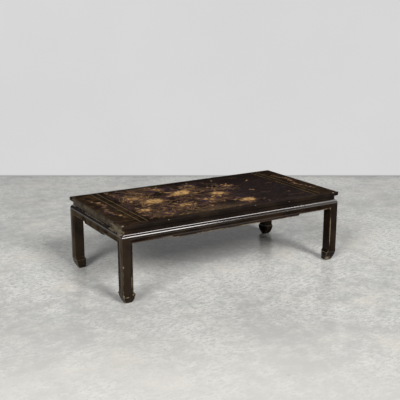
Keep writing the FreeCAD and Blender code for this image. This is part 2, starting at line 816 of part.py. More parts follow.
def make_legs():
    """The front left leg, and its mirror images at the other three corners."""
    reach = LEG_INNER + S["toe_reach"] + OVERRUN
    leg = doc.addObject("Part::MultiFuse", "leg_front_left")
    leg.Shapes = [
        make_leg_core(reach),
        make_leg_bead("front_bead", "XZ_Plane", "YZ_Plane", reach),
        make_leg_bead("side_bead", "YZ_Plane", "XZ_Plane", reach),
    ]
    leg.Refine = True
    keep("leg_front_left", leg)
    mirror("leg_front_right", leg, across_length=True)
    back = mirror("leg_back_left", leg, across_length=False)
    mirror("leg_back_right", back, across_length=True)


def check(feature, solids):
    """Stops the build if a piece is missing, broken or not as many solids as it should be."""
    shape = feature.Shape
    if shape.isNull() or not shape.isValid():
        raise RuntimeError(f"{feature.Label} has no sound shape")
    if len(shape.Solids) != solids:
        raise RuntimeError(f"{feature.Label} has {len(shape.Solids)} solids, not {solids}")


make_long_rails()
make_short_rails()
make_boards()
make_battens()
make_waist()
make_apron(LONG, S["long_step_inset"])
make_apron(SHORT, S["short_step_inset"])
make_legs()
doc.recompute()

failed = [item.Label for item in doc.Objects if "Invalid" in item.State or "Error" in item.State]
if failed:
    raise RuntimeError("could not be worked out: " + ", ".join(failed))
for label, feature in NODES.items():
    check(feature, NAIL_COUNT if label == "waist_nails" else 1)
os.makedirs("parts", exist_ok=True)
for label, feature in NODES.items():
    feature.Shape.exportStep(f"parts/{label}.step")
print(len(NODES), "pieces written")
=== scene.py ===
"""Finishes, painting and stage for the waisted low table, laid out as a Blender add-on and run as a script.

Metres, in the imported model's frame: +Z up, origin on the floor below the middle of the table, -Y the front.
"""
import math
import random

import bmesh
import bpy
from bpy.props import FloatProperty, FloatVectorProperty, IntProperty, PointerProperty
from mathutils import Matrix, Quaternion, Vector
from mathutils.bvhtree import BVHTree


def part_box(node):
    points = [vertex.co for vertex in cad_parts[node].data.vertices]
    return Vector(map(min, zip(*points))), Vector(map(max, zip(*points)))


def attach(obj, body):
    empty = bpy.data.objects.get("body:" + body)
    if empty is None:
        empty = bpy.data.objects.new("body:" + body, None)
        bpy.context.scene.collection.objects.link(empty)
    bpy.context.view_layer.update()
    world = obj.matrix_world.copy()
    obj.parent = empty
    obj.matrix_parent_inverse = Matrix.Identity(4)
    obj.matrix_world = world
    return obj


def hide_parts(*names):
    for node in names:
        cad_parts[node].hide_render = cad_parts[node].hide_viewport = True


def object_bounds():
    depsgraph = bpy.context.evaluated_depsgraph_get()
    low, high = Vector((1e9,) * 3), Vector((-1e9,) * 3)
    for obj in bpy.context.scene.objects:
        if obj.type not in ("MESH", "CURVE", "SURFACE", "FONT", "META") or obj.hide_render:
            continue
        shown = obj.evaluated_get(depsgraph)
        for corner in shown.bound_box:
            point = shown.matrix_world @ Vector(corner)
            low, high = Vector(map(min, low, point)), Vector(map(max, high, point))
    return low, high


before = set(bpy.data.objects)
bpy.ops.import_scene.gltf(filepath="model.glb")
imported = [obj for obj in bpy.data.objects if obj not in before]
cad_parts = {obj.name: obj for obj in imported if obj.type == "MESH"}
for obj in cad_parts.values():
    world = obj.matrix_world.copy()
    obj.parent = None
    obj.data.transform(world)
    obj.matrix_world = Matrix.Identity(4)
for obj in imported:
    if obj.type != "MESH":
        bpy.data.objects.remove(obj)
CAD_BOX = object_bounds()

bl_info = {
    "name": "Waisted low table",
    "version": (1, 0, 0),
    "blender": (4, 5, 0),
    "location": "View3D > Sidebar > Low table",
    "description": "Dresses the packed low table in old lacquer and gilt painting, and lights it",
    "category": "Object",
}

MM = 0.001
BODY = "root"
PIECES = "pieces of the table"
TOP = CAD_BOX[1].z
HALF_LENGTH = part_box("top_rail_front")[1].x
HALF_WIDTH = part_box("top_rail_left")[1].y

# The round below the lip of the top's rails: where it starts, its radius in the CAD, the share of that radius that
# the finished lip keeps, and how far the CAD's facets may stand off the true round
RAIL_UNDERSIDE = TOP - 20 * MM
LIP_ROUND = 9.5 * MM
LIP_SHARE = 0.42
TOLERANCE = 0.45 * MM

RAILS = ("top_rail_front", "top_rail_back", "top_rail_left", "top_rail_right")
BOARDS = ("top_board_front", "top_board_middle", "top_board_back")
WAISTS = ("waist_front", "waist_back", "waist_left", "waist_right")
APRONS = ("apron_front", "apron_back", "apron_left", "apron_right")
BATTENS = ("panel_batten_1", "panel_batten_2", "panel_batten_3", "panel_batten_4")
LEGS = {
    # How browned and how dusty the lacquer of each leg is; the left legs get more of both, which also lightens
    # them as painted light
    "leg_front_left": (0.5, 0.04),
    "leg_front_right": (0.15, 0.0),
    "leg_back_left": (1.0, 0.16),
    "leg_back_right": (0.15, 0.0),
}

# A dressed piece's material slots: plain faces, worn arrises, finer faces, and the left end, whose lighter,
# browner lacquer is partly dust and fading and partly painted light and sheen
PLAIN, ARRIS, FINE, END = range(4)
LIT_DUSTY_END_FROM = -0.56


def colour_setting(name, description, default):
    return FloatVectorProperty(name=name, description=description, subtype="COLOR", default=default)


def distance_setting(name, description, default):
    return FloatProperty(name=name, description=description, subtype="DISTANCE", default=default)


def share_setting(name, description, default):
    return FloatProperty(name=name, description=description, subtype="FACTOR", default=default)


def power_setting(name, description, default):
    return FloatProperty(name=name, description=description, subtype="POWER", default=default)


class LacquerSettings(bpy.types.PropertyGroup):
    """Colours and wear of the lacquer."""

    dark: colour_setting("Dark lacquer", "Brown black of the sound lacquer", (0.0056, 0.0033, 0.0022))
    faded: colour_setting("Faded lacquer", "Where light and hands have browned it", (0.0155, 0.0092, 0.0054))
    undercoat: colour_setting("Undercoat", "Red brown coat below the lacquer", (0.045, 0.024, 0.013))
    bare: colour_setting("Bare ground", "Pale ground and wood where all coats are gone", (0.17, 0.14, 0.092))
    # The grime is mixed in on the left end and the left legs, where it also lightens them as painted light
    grime_and_light: colour_setting("Grime", "Dry brown film on the end that the light has bleached", (0.115, 0.085, 0.05))
    arris_width: distance_setting("Arris rounding", "How far the open edges are worn round", 0.8 * MM)
    joint_share: share_setting(
        "Joint rounding share", "Rounding of edges along a joint, as a share of the arris rounding", 0.16
    )
    foot_wear: distance_setting("Foot wear", "How high the feet are scuffed", 16 * MM)
    gloss: share_setting("Lacquer roughness", "Roughness of the polished lacquer", 0.11)


class PaintingSettings(bpy.types.PropertyGroup):
    """Sizes and colours of the gilt painting on the top."""

    border_inset: distance_setting("Border inset", "Border line from the table's edge", 17 * MM)
    line_width: distance_setting("Line width", "Width of the painted border lines", 3.2 * MM)
    reserve_line: distance_setting("Reserve line", "Outer line of each end reserve, from the middle", 506 * MM)
    panel_line: distance_setting("Panel line", "End line of the main panel, from the middle", 473 * MM)
    relief: distance_setting("Relief", "How far the painting stands above the lacquer", 0.3 * MM)
    ground: colour_setting("Ground", "Dark lacquer of the top", (0.0105, 0.0068, 0.005))
    ground_faded: colour_setting("Faded ground", "Browned lacquer of the top", (0.031, 0.021, 0.0135))
    # The plum ground is partly plum lacquer and partly a painted reflection of the room on the top's right half
    plum_ground_and_sheen: colour_setting("Plum ground", "Bluish lacquer of the open sky", (0.021, 0.0155, 0.016))
    line_colour: colour_setting("Line", "Colour of the border lines", (0.13, 0.10, 0.055))
    gilt: colour_setting("Gilt", "Colour of the gilding", (0.33, 0.19, 0.078))
    earth: colour_setting("Earth", "Khaki brown washes of the banks and round the blooms", (0.10, 0.068, 0.04))
    rust: colour_setting("Rust", "Rust brown washes of the end reserves", (0.075, 0.04, 0.017))
    highlight: colour_setting("Highlight", "Bright gold in the middle of the blooms", (0.49, 0.295, 0.115))
    olive: colour_setting("Olive", "Colour of the painted leaves", (0.05, 0.039, 0.019))
    red: colour_setting("Red brown", "Colour of the red brown paint", (0.075, 0.036, 0.028))
    plum: colour_setting("Plum", "Colour of the blue grey and plum paint", (0.023, 0.016, 0.033))
    seed: IntProperty(name="Seed", description="Seed of the painted branches and leaves", default=11)


class StageSettings(bpy.types.PropertyGroup):
    """Room, lamps and camera."""

    floor: colour_setting("Floor", "Colour of the polished floor", (0.59, 0.585, 0.56))
    wall: colour_setting("Wall", "Colour of the back wall", (0.69, 0.69, 0.69))
    mirrored_wall: share_setting("Mirrored wall", "How bright the wall is in the floor and the lacquer", 0.78)
    lens: FloatProperty(name="Lens", description="Focal length in millimetres", default=67.06)
    front: power_setting("Front", "Power of the high front light", 2950)
    left: power_setting("Left", "Power of the light at the left", 930)
    overhead: power_setting("Overhead", "Power of the soft light above", 30)
    behind: power_setting("Behind", "Power of the light that shows the table's back and right", 400)
    low_right: power_setting("Low right", "Power of the low light at the front right", 15)


def scaled(colour, share):
    return tuple(channel * share for channel in colour)


def tinted(colour, shares):
    return tuple(channel * share for channel, share in zip(colour, shares))


class Wire:
    """An output of a node. Arithmetic on it adds the node that works the result out."""

    def __init__(self, nodes, socket):
        self.nodes = nodes
        self.socket = socket

    def __add__(self, other):
        return self.nodes.math("ADD", self, other)

    def __radd__(self, other):
        return self.nodes.math("ADD", other, self)

    def __sub__(self, other):
        return self.nodes.math("SUBTRACT", self, other)

    def __rsub__(self, other):
        return self.nodes.math("SUBTRACT", other, self)

    def __mul__(self, other):
        return self.nodes.math("MULTIPLY", self, other)

    def __abs__(self):
        return self.nodes.math("ABSOLUTE", self)

    def clamped(self):
        """Holds the result between 0 and 1."""
        self.socket.node.use_clamp = True
        return self


class Nodes:
    """Makes and links the nodes of one tree."""

    def __init__(self, tree):
        self.tree = tree

    def fill(self, socket, value):
        if isinstance(value, Wire):
            self.tree.links.new(value.socket, socket)
        elif value is not None:
            socket.default_value = value

    def make(self, kind, inputs=(), **settings):
        """A node with its settings and inputs, which are plain values or wires."""
        node = self.tree.nodes.new(kind)
        for name, value in settings.items():
            setattr(node, name, value)
        for key, value in inputs.items() if isinstance(inputs, dict) else enumerate(inputs):
            self.fill(node.inputs[key], value)
        return node

    def add(self, kind, inputs=(), out=0, **settings):
        """One output of a new node."""
        return Wire(self, self.make(kind, inputs, **settings).outputs[out])

    def split(self, kind, inputs, **settings):
        """All outputs of a new node."""
        return [Wire(self, socket) for socket in self.make(kind, inputs, **settings).outputs]

    def axes(self, vector):
        return self.split("ShaderNodeSeparateXYZ", [vector])

    def math(self, operation, first, second=0.0):
        return self.add("ShaderNodeMath", [first, second], operation=operation)


class Shade(Nodes):
    """A material's nodes, on Object coordinates in metres. Its colour is built up coat by coat."""

    def __init__(self, name, colour):
        self.material = bpy.data.materials.new(name)
        self.material.use_nodes = True
        super().__init__(self.material.node_tree)
        self.tree.nodes.clear()
        self.place = self.add("ShaderNodeTexCoord", out="Object")
        self.colour = colour

    def vectors(self, operation, *inputs, out=0):
        return self.add("ShaderNodeVectorMath", inputs, out=out, operation=operation)

    def stretched(self, x=1.0, y=1.0, z=1.0):
        return self.vectors("MULTIPLY", self.place, (x, y, z))

    def noise(self, scale, detail=4.0, roughness=0.55, place=None, out=0):
        inputs = {"Vector": place or self.place, "Scale": scale, "Detail": detail, "Roughness": roughness}
        return self.add("ShaderNodeTexNoise", inputs, out=out)

    def fade(self, value, low, high, most=1.0):
        """0 below low and most above high, smoothly between."""
        inputs = {"Value": value, "From Min": low, "From Max": high, "To Max": most}
        return self.add("ShaderNodeMapRange", inputs, interpolation_type="SMOOTHSTEP")

    def mix(self, factor, first, second):
        """The first colour at 0, the second at 1. The node keeps its colours at inputs 6 and 7 and output 2."""
        first, second = (value if isinstance(value, Wire) else (*value, 1.0) for value in (first, second))
        return self.add("ShaderNodeMix", {0: factor, 6: first, 7: second}, out=2, data_type="RGBA")

    def cover(self, colour, share):
        """Covers the colour so far with that share of another."""
        self.colour = self.mix(share, self.colour, colour)

    def coat(self, colour, value, low, high, most=1.0):
        """Covers the colour so far with another where a value rises from low to high."""
        self.cover(colour, self.fade(value, low, high, most))

    def highest(self, *values):
        top = values[0]
        for value in values[1:]:
            top = self.math("MAXIMUM", top, value)
        return top

    def patch(self, centre, radii):
        """1 at the middle of a patch and 0 past its rim."""
        shares = self.vectors("DIVIDE", self.vectors("SUBTRACT", self.place, centre), radii)
        return (1.0 - self.vectors("LENGTH", shares, out="Value")).clamped()

    def patches(self, sizes):
        """The strongest of several patches, whose middles and radii are in millimetres."""
        return self.highest(*[self.patch(scaled(centre, MM), scaled(radii, MM)) for centre, radii in sizes])

    def ragged(self):
        """Noise about 0 that frays the rims of worn places."""
        return (self.noise(85.0, 6.0, 0.7) - 0.5) * FRAY

    def bump(self, height, distance, strength=1.0, below=None):
        inputs = {"Height": height, "Distance": distance, "Strength": strength, "Normal": below}
        return self.add("ShaderNodeBump", inputs)

    def facing(self):
        """1 where the front of a face is seen and 0 on its back."""
        return 1.0 - self.add("ShaderNodeNewGeometry", out="Backfacing")

    def finish(self, roughness, normal, **others):
        """Ends the material in one surface shader. Names use _ for the spaces in the sockets' names."""
        inputs = {"Base Color": self.colour, "Roughness": roughness, "Normal": normal}
        inputs.update((name.replace("_", " "), value) for name, value in others.items())
        self.make("ShaderNodeOutputMaterial", [self.add("ShaderNodeBsdfPrincipled", inputs)])
        return self.material


FRAY = 1.5
WORN_PATCHES = {
    # Middle and radii in millimetres: where the lacquer is worn through, and the left shoulder's line, which is
    # also a painted highlight
    "left waist near the corner": ((-600, -235, 333), (30, 100, 20)),
    "left lip near the corner": ((-609, -225, 350), (12, 90, 12)),
    "front left corner of the top": ((-606, -303, 367), (12, 10, 6)),
    "left waist, corner block": ((-606, -270, 324), (14, 45, 16)),
    "left shoulder, speckled": ((-604, -185, 323), (10, 55, 9)),
    # A long pale line along the left shoulder: partly rubbed lacquer, partly a painted highlight where the
    # shoulder catches the light
    "left shoulder, rubbed and lit line": ((-603, 20, 326), (6, 290, 4.5)),
    "left foot": ((-608, 238, 10), (14, 24, 16)),
    "left hoof ridge": ((-610, 199, 73), (6, 16, 5)),
    "left leg, inner arris": ((-610, 234, 120), (4, 4, 40)),
    "right foot": ((562, -300, 8), (34, 24, 24)),
    "right hoof ridge": ((552, -305, 62), (14, 7, 5)),
    "right leg, inner arris": ((567, -306, 165), (4, 6, 130)),
    "near hoof, ridge": ((-590, -306, 33), (24, 10, 5)),
    "near hoof, outer ridge": ((-608, -304, 38), (7, 12, 18)),
    "near hoof, toe": ((-561, -304, 43), (7, 8, 9)),
    "near hoof, toe tip": ((-553, -304, 30), (5, 8, 10)),
    "near leg, inner arris": ((-567, -305, 105), (3.5, 6, 50)),
    "front lip, left": ((-378, -306, 364), (5, 6, 5)),
    "front lip, middle": ((95, -306, 366), (6, 5, 4)),
    "front lip, right": ((296, -306, 357), (4, 5, 4)),
    "front apron, right": ((289, -303, 310), (4, 6, 7)),
    "front apron bead, left": ((-361, -304, 281), (9, 6, 6)),
    "right corner, lip": ((577, -306, 366), (8, 7, 6)),
    "right corner, end": ((604, -300, 364), (6, 7, 5)),
    "right corner, shoulder": ((574, -306, 340), (14, 6, 8)),
    "near leg, outer arris": ((-607, -303, 178), (6, 6, 10)),
    "left leg, end face": ((-610, 219, 203), (4, 6, 9)),
    "right leg, apron corner": ((560, -304, 284), (10, 6, 8)),
}

SOUND_CORNERS = (
    # Middle and radii in millimetres: corners of the lip that kept their dark lacquer
    ((-608, 300, 358), (30, 45, 22)),
    ((610, -296, 356), (12, 30, 18)),
)
TOP_WEAR = 350  # Height in millimetres from which a worn patch also shows on the painted ground


def lacquer(name, settings, arris=False, ior=1.5, level=0.09, aged_and_lit=0.0, dusty_and_lit=0.0, shine=0.0):
    """Old brown black lacquer: mottled, faintly crazed, and worn through to red brown and pale ground.

    arris is for the worn edges, ior and level set the strength of its gloss, aged and dust say how browned and how
    dusty it is, which on the left end and the left legs also lightens it as painted light, and shine how much
    smoother than elsewhere.
    """
    shade = Shade(name, settings.dark)
    x, y, z = shade.axes(shade.place)
    broad = shade.noise(7.0, 5.0)
    grain = shade.noise(26.0, 6.0, 0.6, shade.stretched(0.35, 1.0, 0.35))
    fine = shade.noise(150.0, 5.0, 0.65)
    cells = {"Vector": shade.place, "Scale": 105.0}
    crackle = shade.add("ShaderNodeTexVoronoi", cells, feature="DISTANCE_TO_EDGE")
    crack = 1.0 - shade.fade(crackle, 0.004, 0.02)
    shade.cover(settings.faded, (shade.fade(broad * 0.6 + grain * 0.4, 0.42, 0.62) + aged_and_lit).clamped())
    if dusty_and_lit:
        shade.coat(settings.grime_and_light, grain, 0.3, 0.6, dusty_and_lit)
    shade.cover(settings.undercoat, crack * 0.25)
    ragged = shade.ragged()
    rubbed = shade.noise(11.0, 3.0) + ragged * 0.35
    patches = shade.patches(WORN_PATCHES.values()) * 1.7 + ragged * 1.3
    foot = 0.85 - shade.fade(z, 0.0, settings.foot_wear) + ragged
    # The proud bead at the aprons' lower edge is rubbed pale: partly wear, partly a painted highlight along the
    # bead
    proud = shade.highest(abs(x) - HALF_LENGTH, abs(y) - HALF_WIDTH)
    bead = shade.fade(proud, 0.3 * MM, 0.8 * MM) * (rubbed + 0.2)
    worn = shade.highest(patches, foot, bead)
    if arris:
        hoof = (1.0 - shade.fade(z, 55 * MM, 75 * MM)) * 0.5
        worn = shade.highest(worn, rubbed * 1.25 + hoof)
    shade.coat(settings.undercoat, worn, 0.42, 0.62)
    shade.coat(settings.bare, worn, 0.68, 0.86)
    shade.coat(settings.dark, shade.patches(SOUND_CORNERS), 0.1, 0.45)
    rough = settings.gloss - shine + shade.fade(fine, 0.35, 0.75, 0.08)
    rough = (rough + shade.fade(worn, 0.4, 0.6, 0.35)).clamped()
    if shine:
        rough += shade.fade(x, 0.05, 0.5, 0.24)  # Duller toward the right
    height = fine * 0.4 - crack * 0.6 - shade.fade(worn, 0.4, 0.7, 1.5)
    relief = shade.bump(height, 0.06 * MM, 0.5, shade.bump(broad, 0.5 * MM, 0.4))
    return shade.finish(rough, relief, IOR=ior, Specular_IOR_Level=level)


BLOOMS = (
    # Place and reach in millimetres from the middle of the top, and tone
    (-296, 4, 68, 0.5), (-196, -134, 60, 0.3), (-366, 96, 52, 0.3), (-96, 84, 72, 0.6),
    (-40, -96, 56, 0.2), (60, -14, 52, 0.5), (-176, 204, 54, 0.2), (128, -196, 52, 0.5),
    (10, 196, 44, 0.1), (-404, -120, 44, 0.4), (190, 96, 36, 0.2), (-330, -232, 40, 0.1),
)
BANKS = (
    # Place and radii in millimetres: soft washes of ochre earth; the first, along the front edge, is partly
    # painted sheen
    (-90, -258, 330, 48), (-372, 118, 80, 72), (-250, 262, 190, 30), (-395, -190, 70, 110),
)
HALO = 1.35  # Radius of the wash round a bloom, as a share of its reach
WASH_DEPTH = 20  # How far the washes reach down, in millimetres


def painted_ground(name, settings, painting):
    """The top's duller lacquer, with faded washes of paint where the picture is dense."""
    shade = Shade(name, painting.ground)
    x, y, _ = shade.axes(shade.place)
    broad = shade.noise(6.0, 5.0)
    fine = shade.noise(140.0, 5.0, 0.65)
    mottle = shade.noise(34.0, 6.0, 0.7)
    within = 1.0 - shade.fade(abs(x), 0.455, 0.47)
    # Plum to the right and its level streaks: partly plum lacquer, partly a painted reflection on the top, which
    # has no specular gloss of its own
    right = shade.fade(x, -0.15, 0.15) * within
    shade.coat(painting.ground_faded, broad, 0.36, 0.64)
    shade.cover(painting.plum_ground_and_sheen, right * 0.8)
    shade.coat(painting.ground, mottle, 0.5, 0.7, 0.6)
    streaks = shade.noise(30.0, 6.0, 0.7, shade.stretched(0.3, 1.0))
    shade.cover(scaled(painting.plum_ground_and_sheen, 1.9), shade.fade(streaks, 0.5, 0.62, 0.5) * right)
    shade.coat(scaled(painting.ground, 0.8), y, 0.02, 0.24, 0.6)
    rusty = shade.noise(22.0, 5.0, 0.65)
    shade.cover(painting.rust, shade.fade(rusty, 0.46, 0.62, 0.6) * (1.0 - within))

    # Daubs of plum, red brown and olive at the left, where the picture is dense
    swirl = shade.vectors("ADD", shade.place, shade.noise(18.0, 3.0, 0.5, out=1))
    flat = shade.vectors("MULTIPLY", swirl, (1.0, 1.0, 0.0))
    daubs = shade.add("ShaderNodeTexVoronoi", {"Vector": flat, "Scale": 46.0}, out="Color")
    first, second, _ = shade.split("ShaderNodeSeparateColor", [daubs])
    washes = shade.mix(shade.fade(first, 0.4, 0.5), painting.plum, painting.red)
    washes = shade.mix(shade.fade(second, 0.66, 0.76), washes, painting.olive)
    dense = within * (1.0 - shade.fade(x, 0.02, 0.3)) * (1.0 - shade.fade(abs(y), 0.2, 0.27))
    shade.cover(washes, shade.fade(shade.noise(14.0, 5.0), 0.4, 0.6, 0.85) * dense)

    # Ochre washes round the blooms and along the banks; the bank along the front edge is partly painted sheen
    halos = [(x, y, reach * HALO, reach * HALO) for x, y, reach, _ in BLOOMS]
    spots = [((x, y, TOP / MM), (wide, long, WASH_DEPTH)) for x, y, wide, long in (*halos, *BANKS)]
    ochre = shade.patches(spots) + (mottle - 0.5) * 1.6
    shade.cover(painting.earth, shade.fade(ochre, 0.12, 0.75, 0.6) * within)
    shade.coat(painting.ground, x, 0.46, 0.5, 0.4)
    shade.coat(painting.ground, shade.noise(75.0, 6.0, 0.75), 0.48, 0.6, 0.85)

    from_edge = shade.math("MINIMUM", HALF_LENGTH - abs(x), HALF_WIDTH - abs(y))
    ragged = shade.ragged()
    patches = shade.patches([sizes for sizes in WORN_PATCHES.values() if sizes[0][2] > TOP_WEAR])
    rim = 0.75 - shade.fade(from_edge, 0.0, 9 * MM) + ragged
    worn = shade.highest(patches * 1.9 + ragged, rim)
    shade.coat(settings.undercoat, worn, 0.45, 0.7)
    shade.coat(settings.bare, worn, 0.75, 0.9)
    rough = 0.5 + shade.fade(fine, 0.35, 0.75, 0.16)
    relief = shade.bump(fine, 0.1 * MM, 0.6, shade.bump(broad, 1.5 * MM, 0.4))
    return shade.finish(rough, relief, Specular_IOR_Level=0.0)


def paint(name, tones, metal, roughness, settings):
    """Worn paint or gilding. The piece's own tone picks its colour, and the lacquer shows where it is rubbed."""
    shade = Shade(name, tones[0])
    tone = shade.add("ShaderNodeAttribute", out="Fac", attribute_name="tone")
    pick = (tone + (shade.noise(60.0, 4.0) - 0.5) * 0.7).clamped()
    for number, following in enumerate(tones[1:], start=1):
        middle = number / len(tones)
        shade.coat(following, pick, middle - 0.12, middle + 0.12)
    flakes = shade.noise(210.0, 5.0, 0.7)
    lost = shade.fade(shade.noise(24.0, 5.0, 0.6), 0.5, 0.68, 0.5)
    shade.coat(settings.faded, lost + flakes * 0.45, 0.46, 0.8)
    return shade.finish(roughness, shade.bump(flakes, 0.08 * MM, 0.7), Metallic=metal, Specular_IOR_Level=0.0)


def batten_wood(name):
    """Dry softwood under the top, with long grain."""
    shade = Shade(name, (0.13, 0.075, 0.036))
    rings = shade.noise(60.0, 6.0, 0.6, shade.stretched(1.0, 0.06, 1.0))
    shade.coat((0.23, 0.14, 0.07), rings, 0.35, 0.65)
    shade.coat((0.075, 0.045, 0.025), shade.noise(9.0), 0.5, 0.8)
    return shade.finish(0.8, shade.bump(rings, 0.3 * MM, 0.7))


def iron(name):
    """Old rusted iron."""
    shade = Shade(name, (0.02, 0.016, 0.014))
    rust = shade.noise(900.0, 5.0, 0.7)
    shade.coat((0.09, 0.035, 0.015), rust, 0.4, 0.65)
    return shade.finish(0.65, shade.bump(rust, 0.2 * MM, 0.8), Metallic=0.6)


def new_piece(name, mesh):
    piece = bpy.data.objects.new(name, mesh)
    bpy.context.scene.collection.objects.link(piece)
    return piece


def settle(piece, name):
    """A plain mesh piece from one whose modifiers are worked out, which is then removed."""
    bpy.context.view_layer.update()
    graph = bpy.context.evaluated_depsgraph_get()
    mesh = bpy.data.meshes.new_from_object(
        piece.evaluated_get(graph), preserve_all_data_layers=True, depsgraph=graph
    )
    bpy.data.objects.remove(piece)
    mesh.name = name
    return new_piece(name, mesh)


def seat(piece):
    """Lets a finished piece ride on the table and puts it under the table's own lamps."""
    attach(piece, BODY)
    bpy.data.collections[PIECES].objects.link(piece)


class Arrises:
    """Sorts a node's sharp edges into open arrises, edges along a joint and hidden ones."""

    TOUCH = 0.3 * MM  # Another node within this lies along a joint
    START = 0.4 * MM  # A look outwards starts past the joint clearance
    REACH = 30 * MM  # An edge that meets a node within this is hidden
    SHARP = math.radians(25)

    def __init__(self):
        self.skins = {}
        for name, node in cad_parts.items():
            places = [vertex.co for vertex in node.data.vertices]
            self.skins[name] = BVHTree.FromPolygons(places, [face.vertices for face in node.data.polygons])

    def hidden(self, place, outwards):
        start = place + outwards * self.START
        return any(skin.ray_cast(start, outwards, self.REACH)[0] is not None for skin in self.skins.values())

    def touches(self, place, own_name):
        return any(
            skin.find_nearest(place, self.TOUCH)[0] is not None
            for name, skin in self.skins.items()
            if name != own_name
        )

    def share(self, edge, own_name, joint_share):
        """How much of the full rounding an edge gets."""
        if len(edge.link_faces) != 2 or not edge.is_convex or edge.calc_face_angle() < self.SHARP:
            return 0.0
        middle = (edge.verts[0].co + edge.verts[1].co) / 2
        outwards = (edge.link_faces[0].normal + edge.link_faces[1].normal).normalized()
        if self.hidden(middle, outwards):
            return 0.0
        return joint_share if self.touches(middle, own_name) else 1.0


def plump_lip(work):
    """Fills out the round below a rail's lip, so that its edge ends in a full bead."""
    for vertex in work.verts:
        rise = vertex.co.z - RAIL_UNDERSIDE
        if rise > LIP_ROUND + TOLERANCE:
            continue
        level = min(1.0, max(0.0, 1.0 - rise / LIP_ROUND))
        reach = LIP_ROUND * (1.0 - math.sqrt(1.0 - level * level)) + TOLERANCE
        insets = [HALF_LENGTH - abs(vertex.co.x), HALF_WIDTH - abs(vertex.co.y)]
        if min(insets) > reach:
            continue
        vertex.co.z = RAIL_UNDERSIDE + rise * LIP_SHARE
        for axis, (inset, half) in enumerate(zip(insets, (HALF_LENGTH, HALF_WIDTH))):
            if inset <= reach:
                vertex.co[axis] = math.copysign(half - inset * LIP_SHARE, vertex.co[axis])


def dress(node, name, arrises, materials, settings, shape=None):
    """A merged copy of a CAD node with its open arrises worn round and its joints left as hairlines."""
    work = bmesh.new()
    work.from_mesh(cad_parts[node].data)
    bmesh.ops.remove_doubles(work, verts=work.verts, dist=0.001 * MM)
    bmesh.ops.dissolve_limit(work, angle_limit=math.radians(0.5), verts=work.verts, edges=work.edges)
    rounding = work.edges.layers.float.new("bevel_weight_edge")
    if shape:
        shape(work)
    work.normal_update()
    for edge in work.edges:
        edge[rounding] = arrises.share(edge, node, settings.joint_share)
    for face in work.faces:
        face.smooth = True
    mesh = bpy.data.meshes.new(name)
    work.to_mesh(mesh)
    work.free()
    mesh.set_sharp_from_angle(angle=Arrises.SHARP)
    for material in materials:
        mesh.materials.append(material)
    for face in mesh.polygons:
        face.material_index = PLAIN
    piece = new_piece(name, mesh)
    bevel = piece.modifiers.new("worn arrises", "BEVEL")
    bevel.limit_method = "WEIGHT"
    bevel.width = settings.arris_width
    bevel.segments = 3
    bevel.use_clamp_overlap = False
    bevel.harden_normals = True
    bevel.material = ARRIS
    piece = settle(piece, name)
    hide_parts(node)
    return piece


def on_lit_dusty_end(face):
    """Whether a plain face looks out of the table's left end, which gets the lighter end lacquer: partly dust and
    fading, partly painted light.
    """
    return face.material_index == PLAIN and face.normal.x < -0.7 and face.center.x < LIT_DUSTY_END_FROM


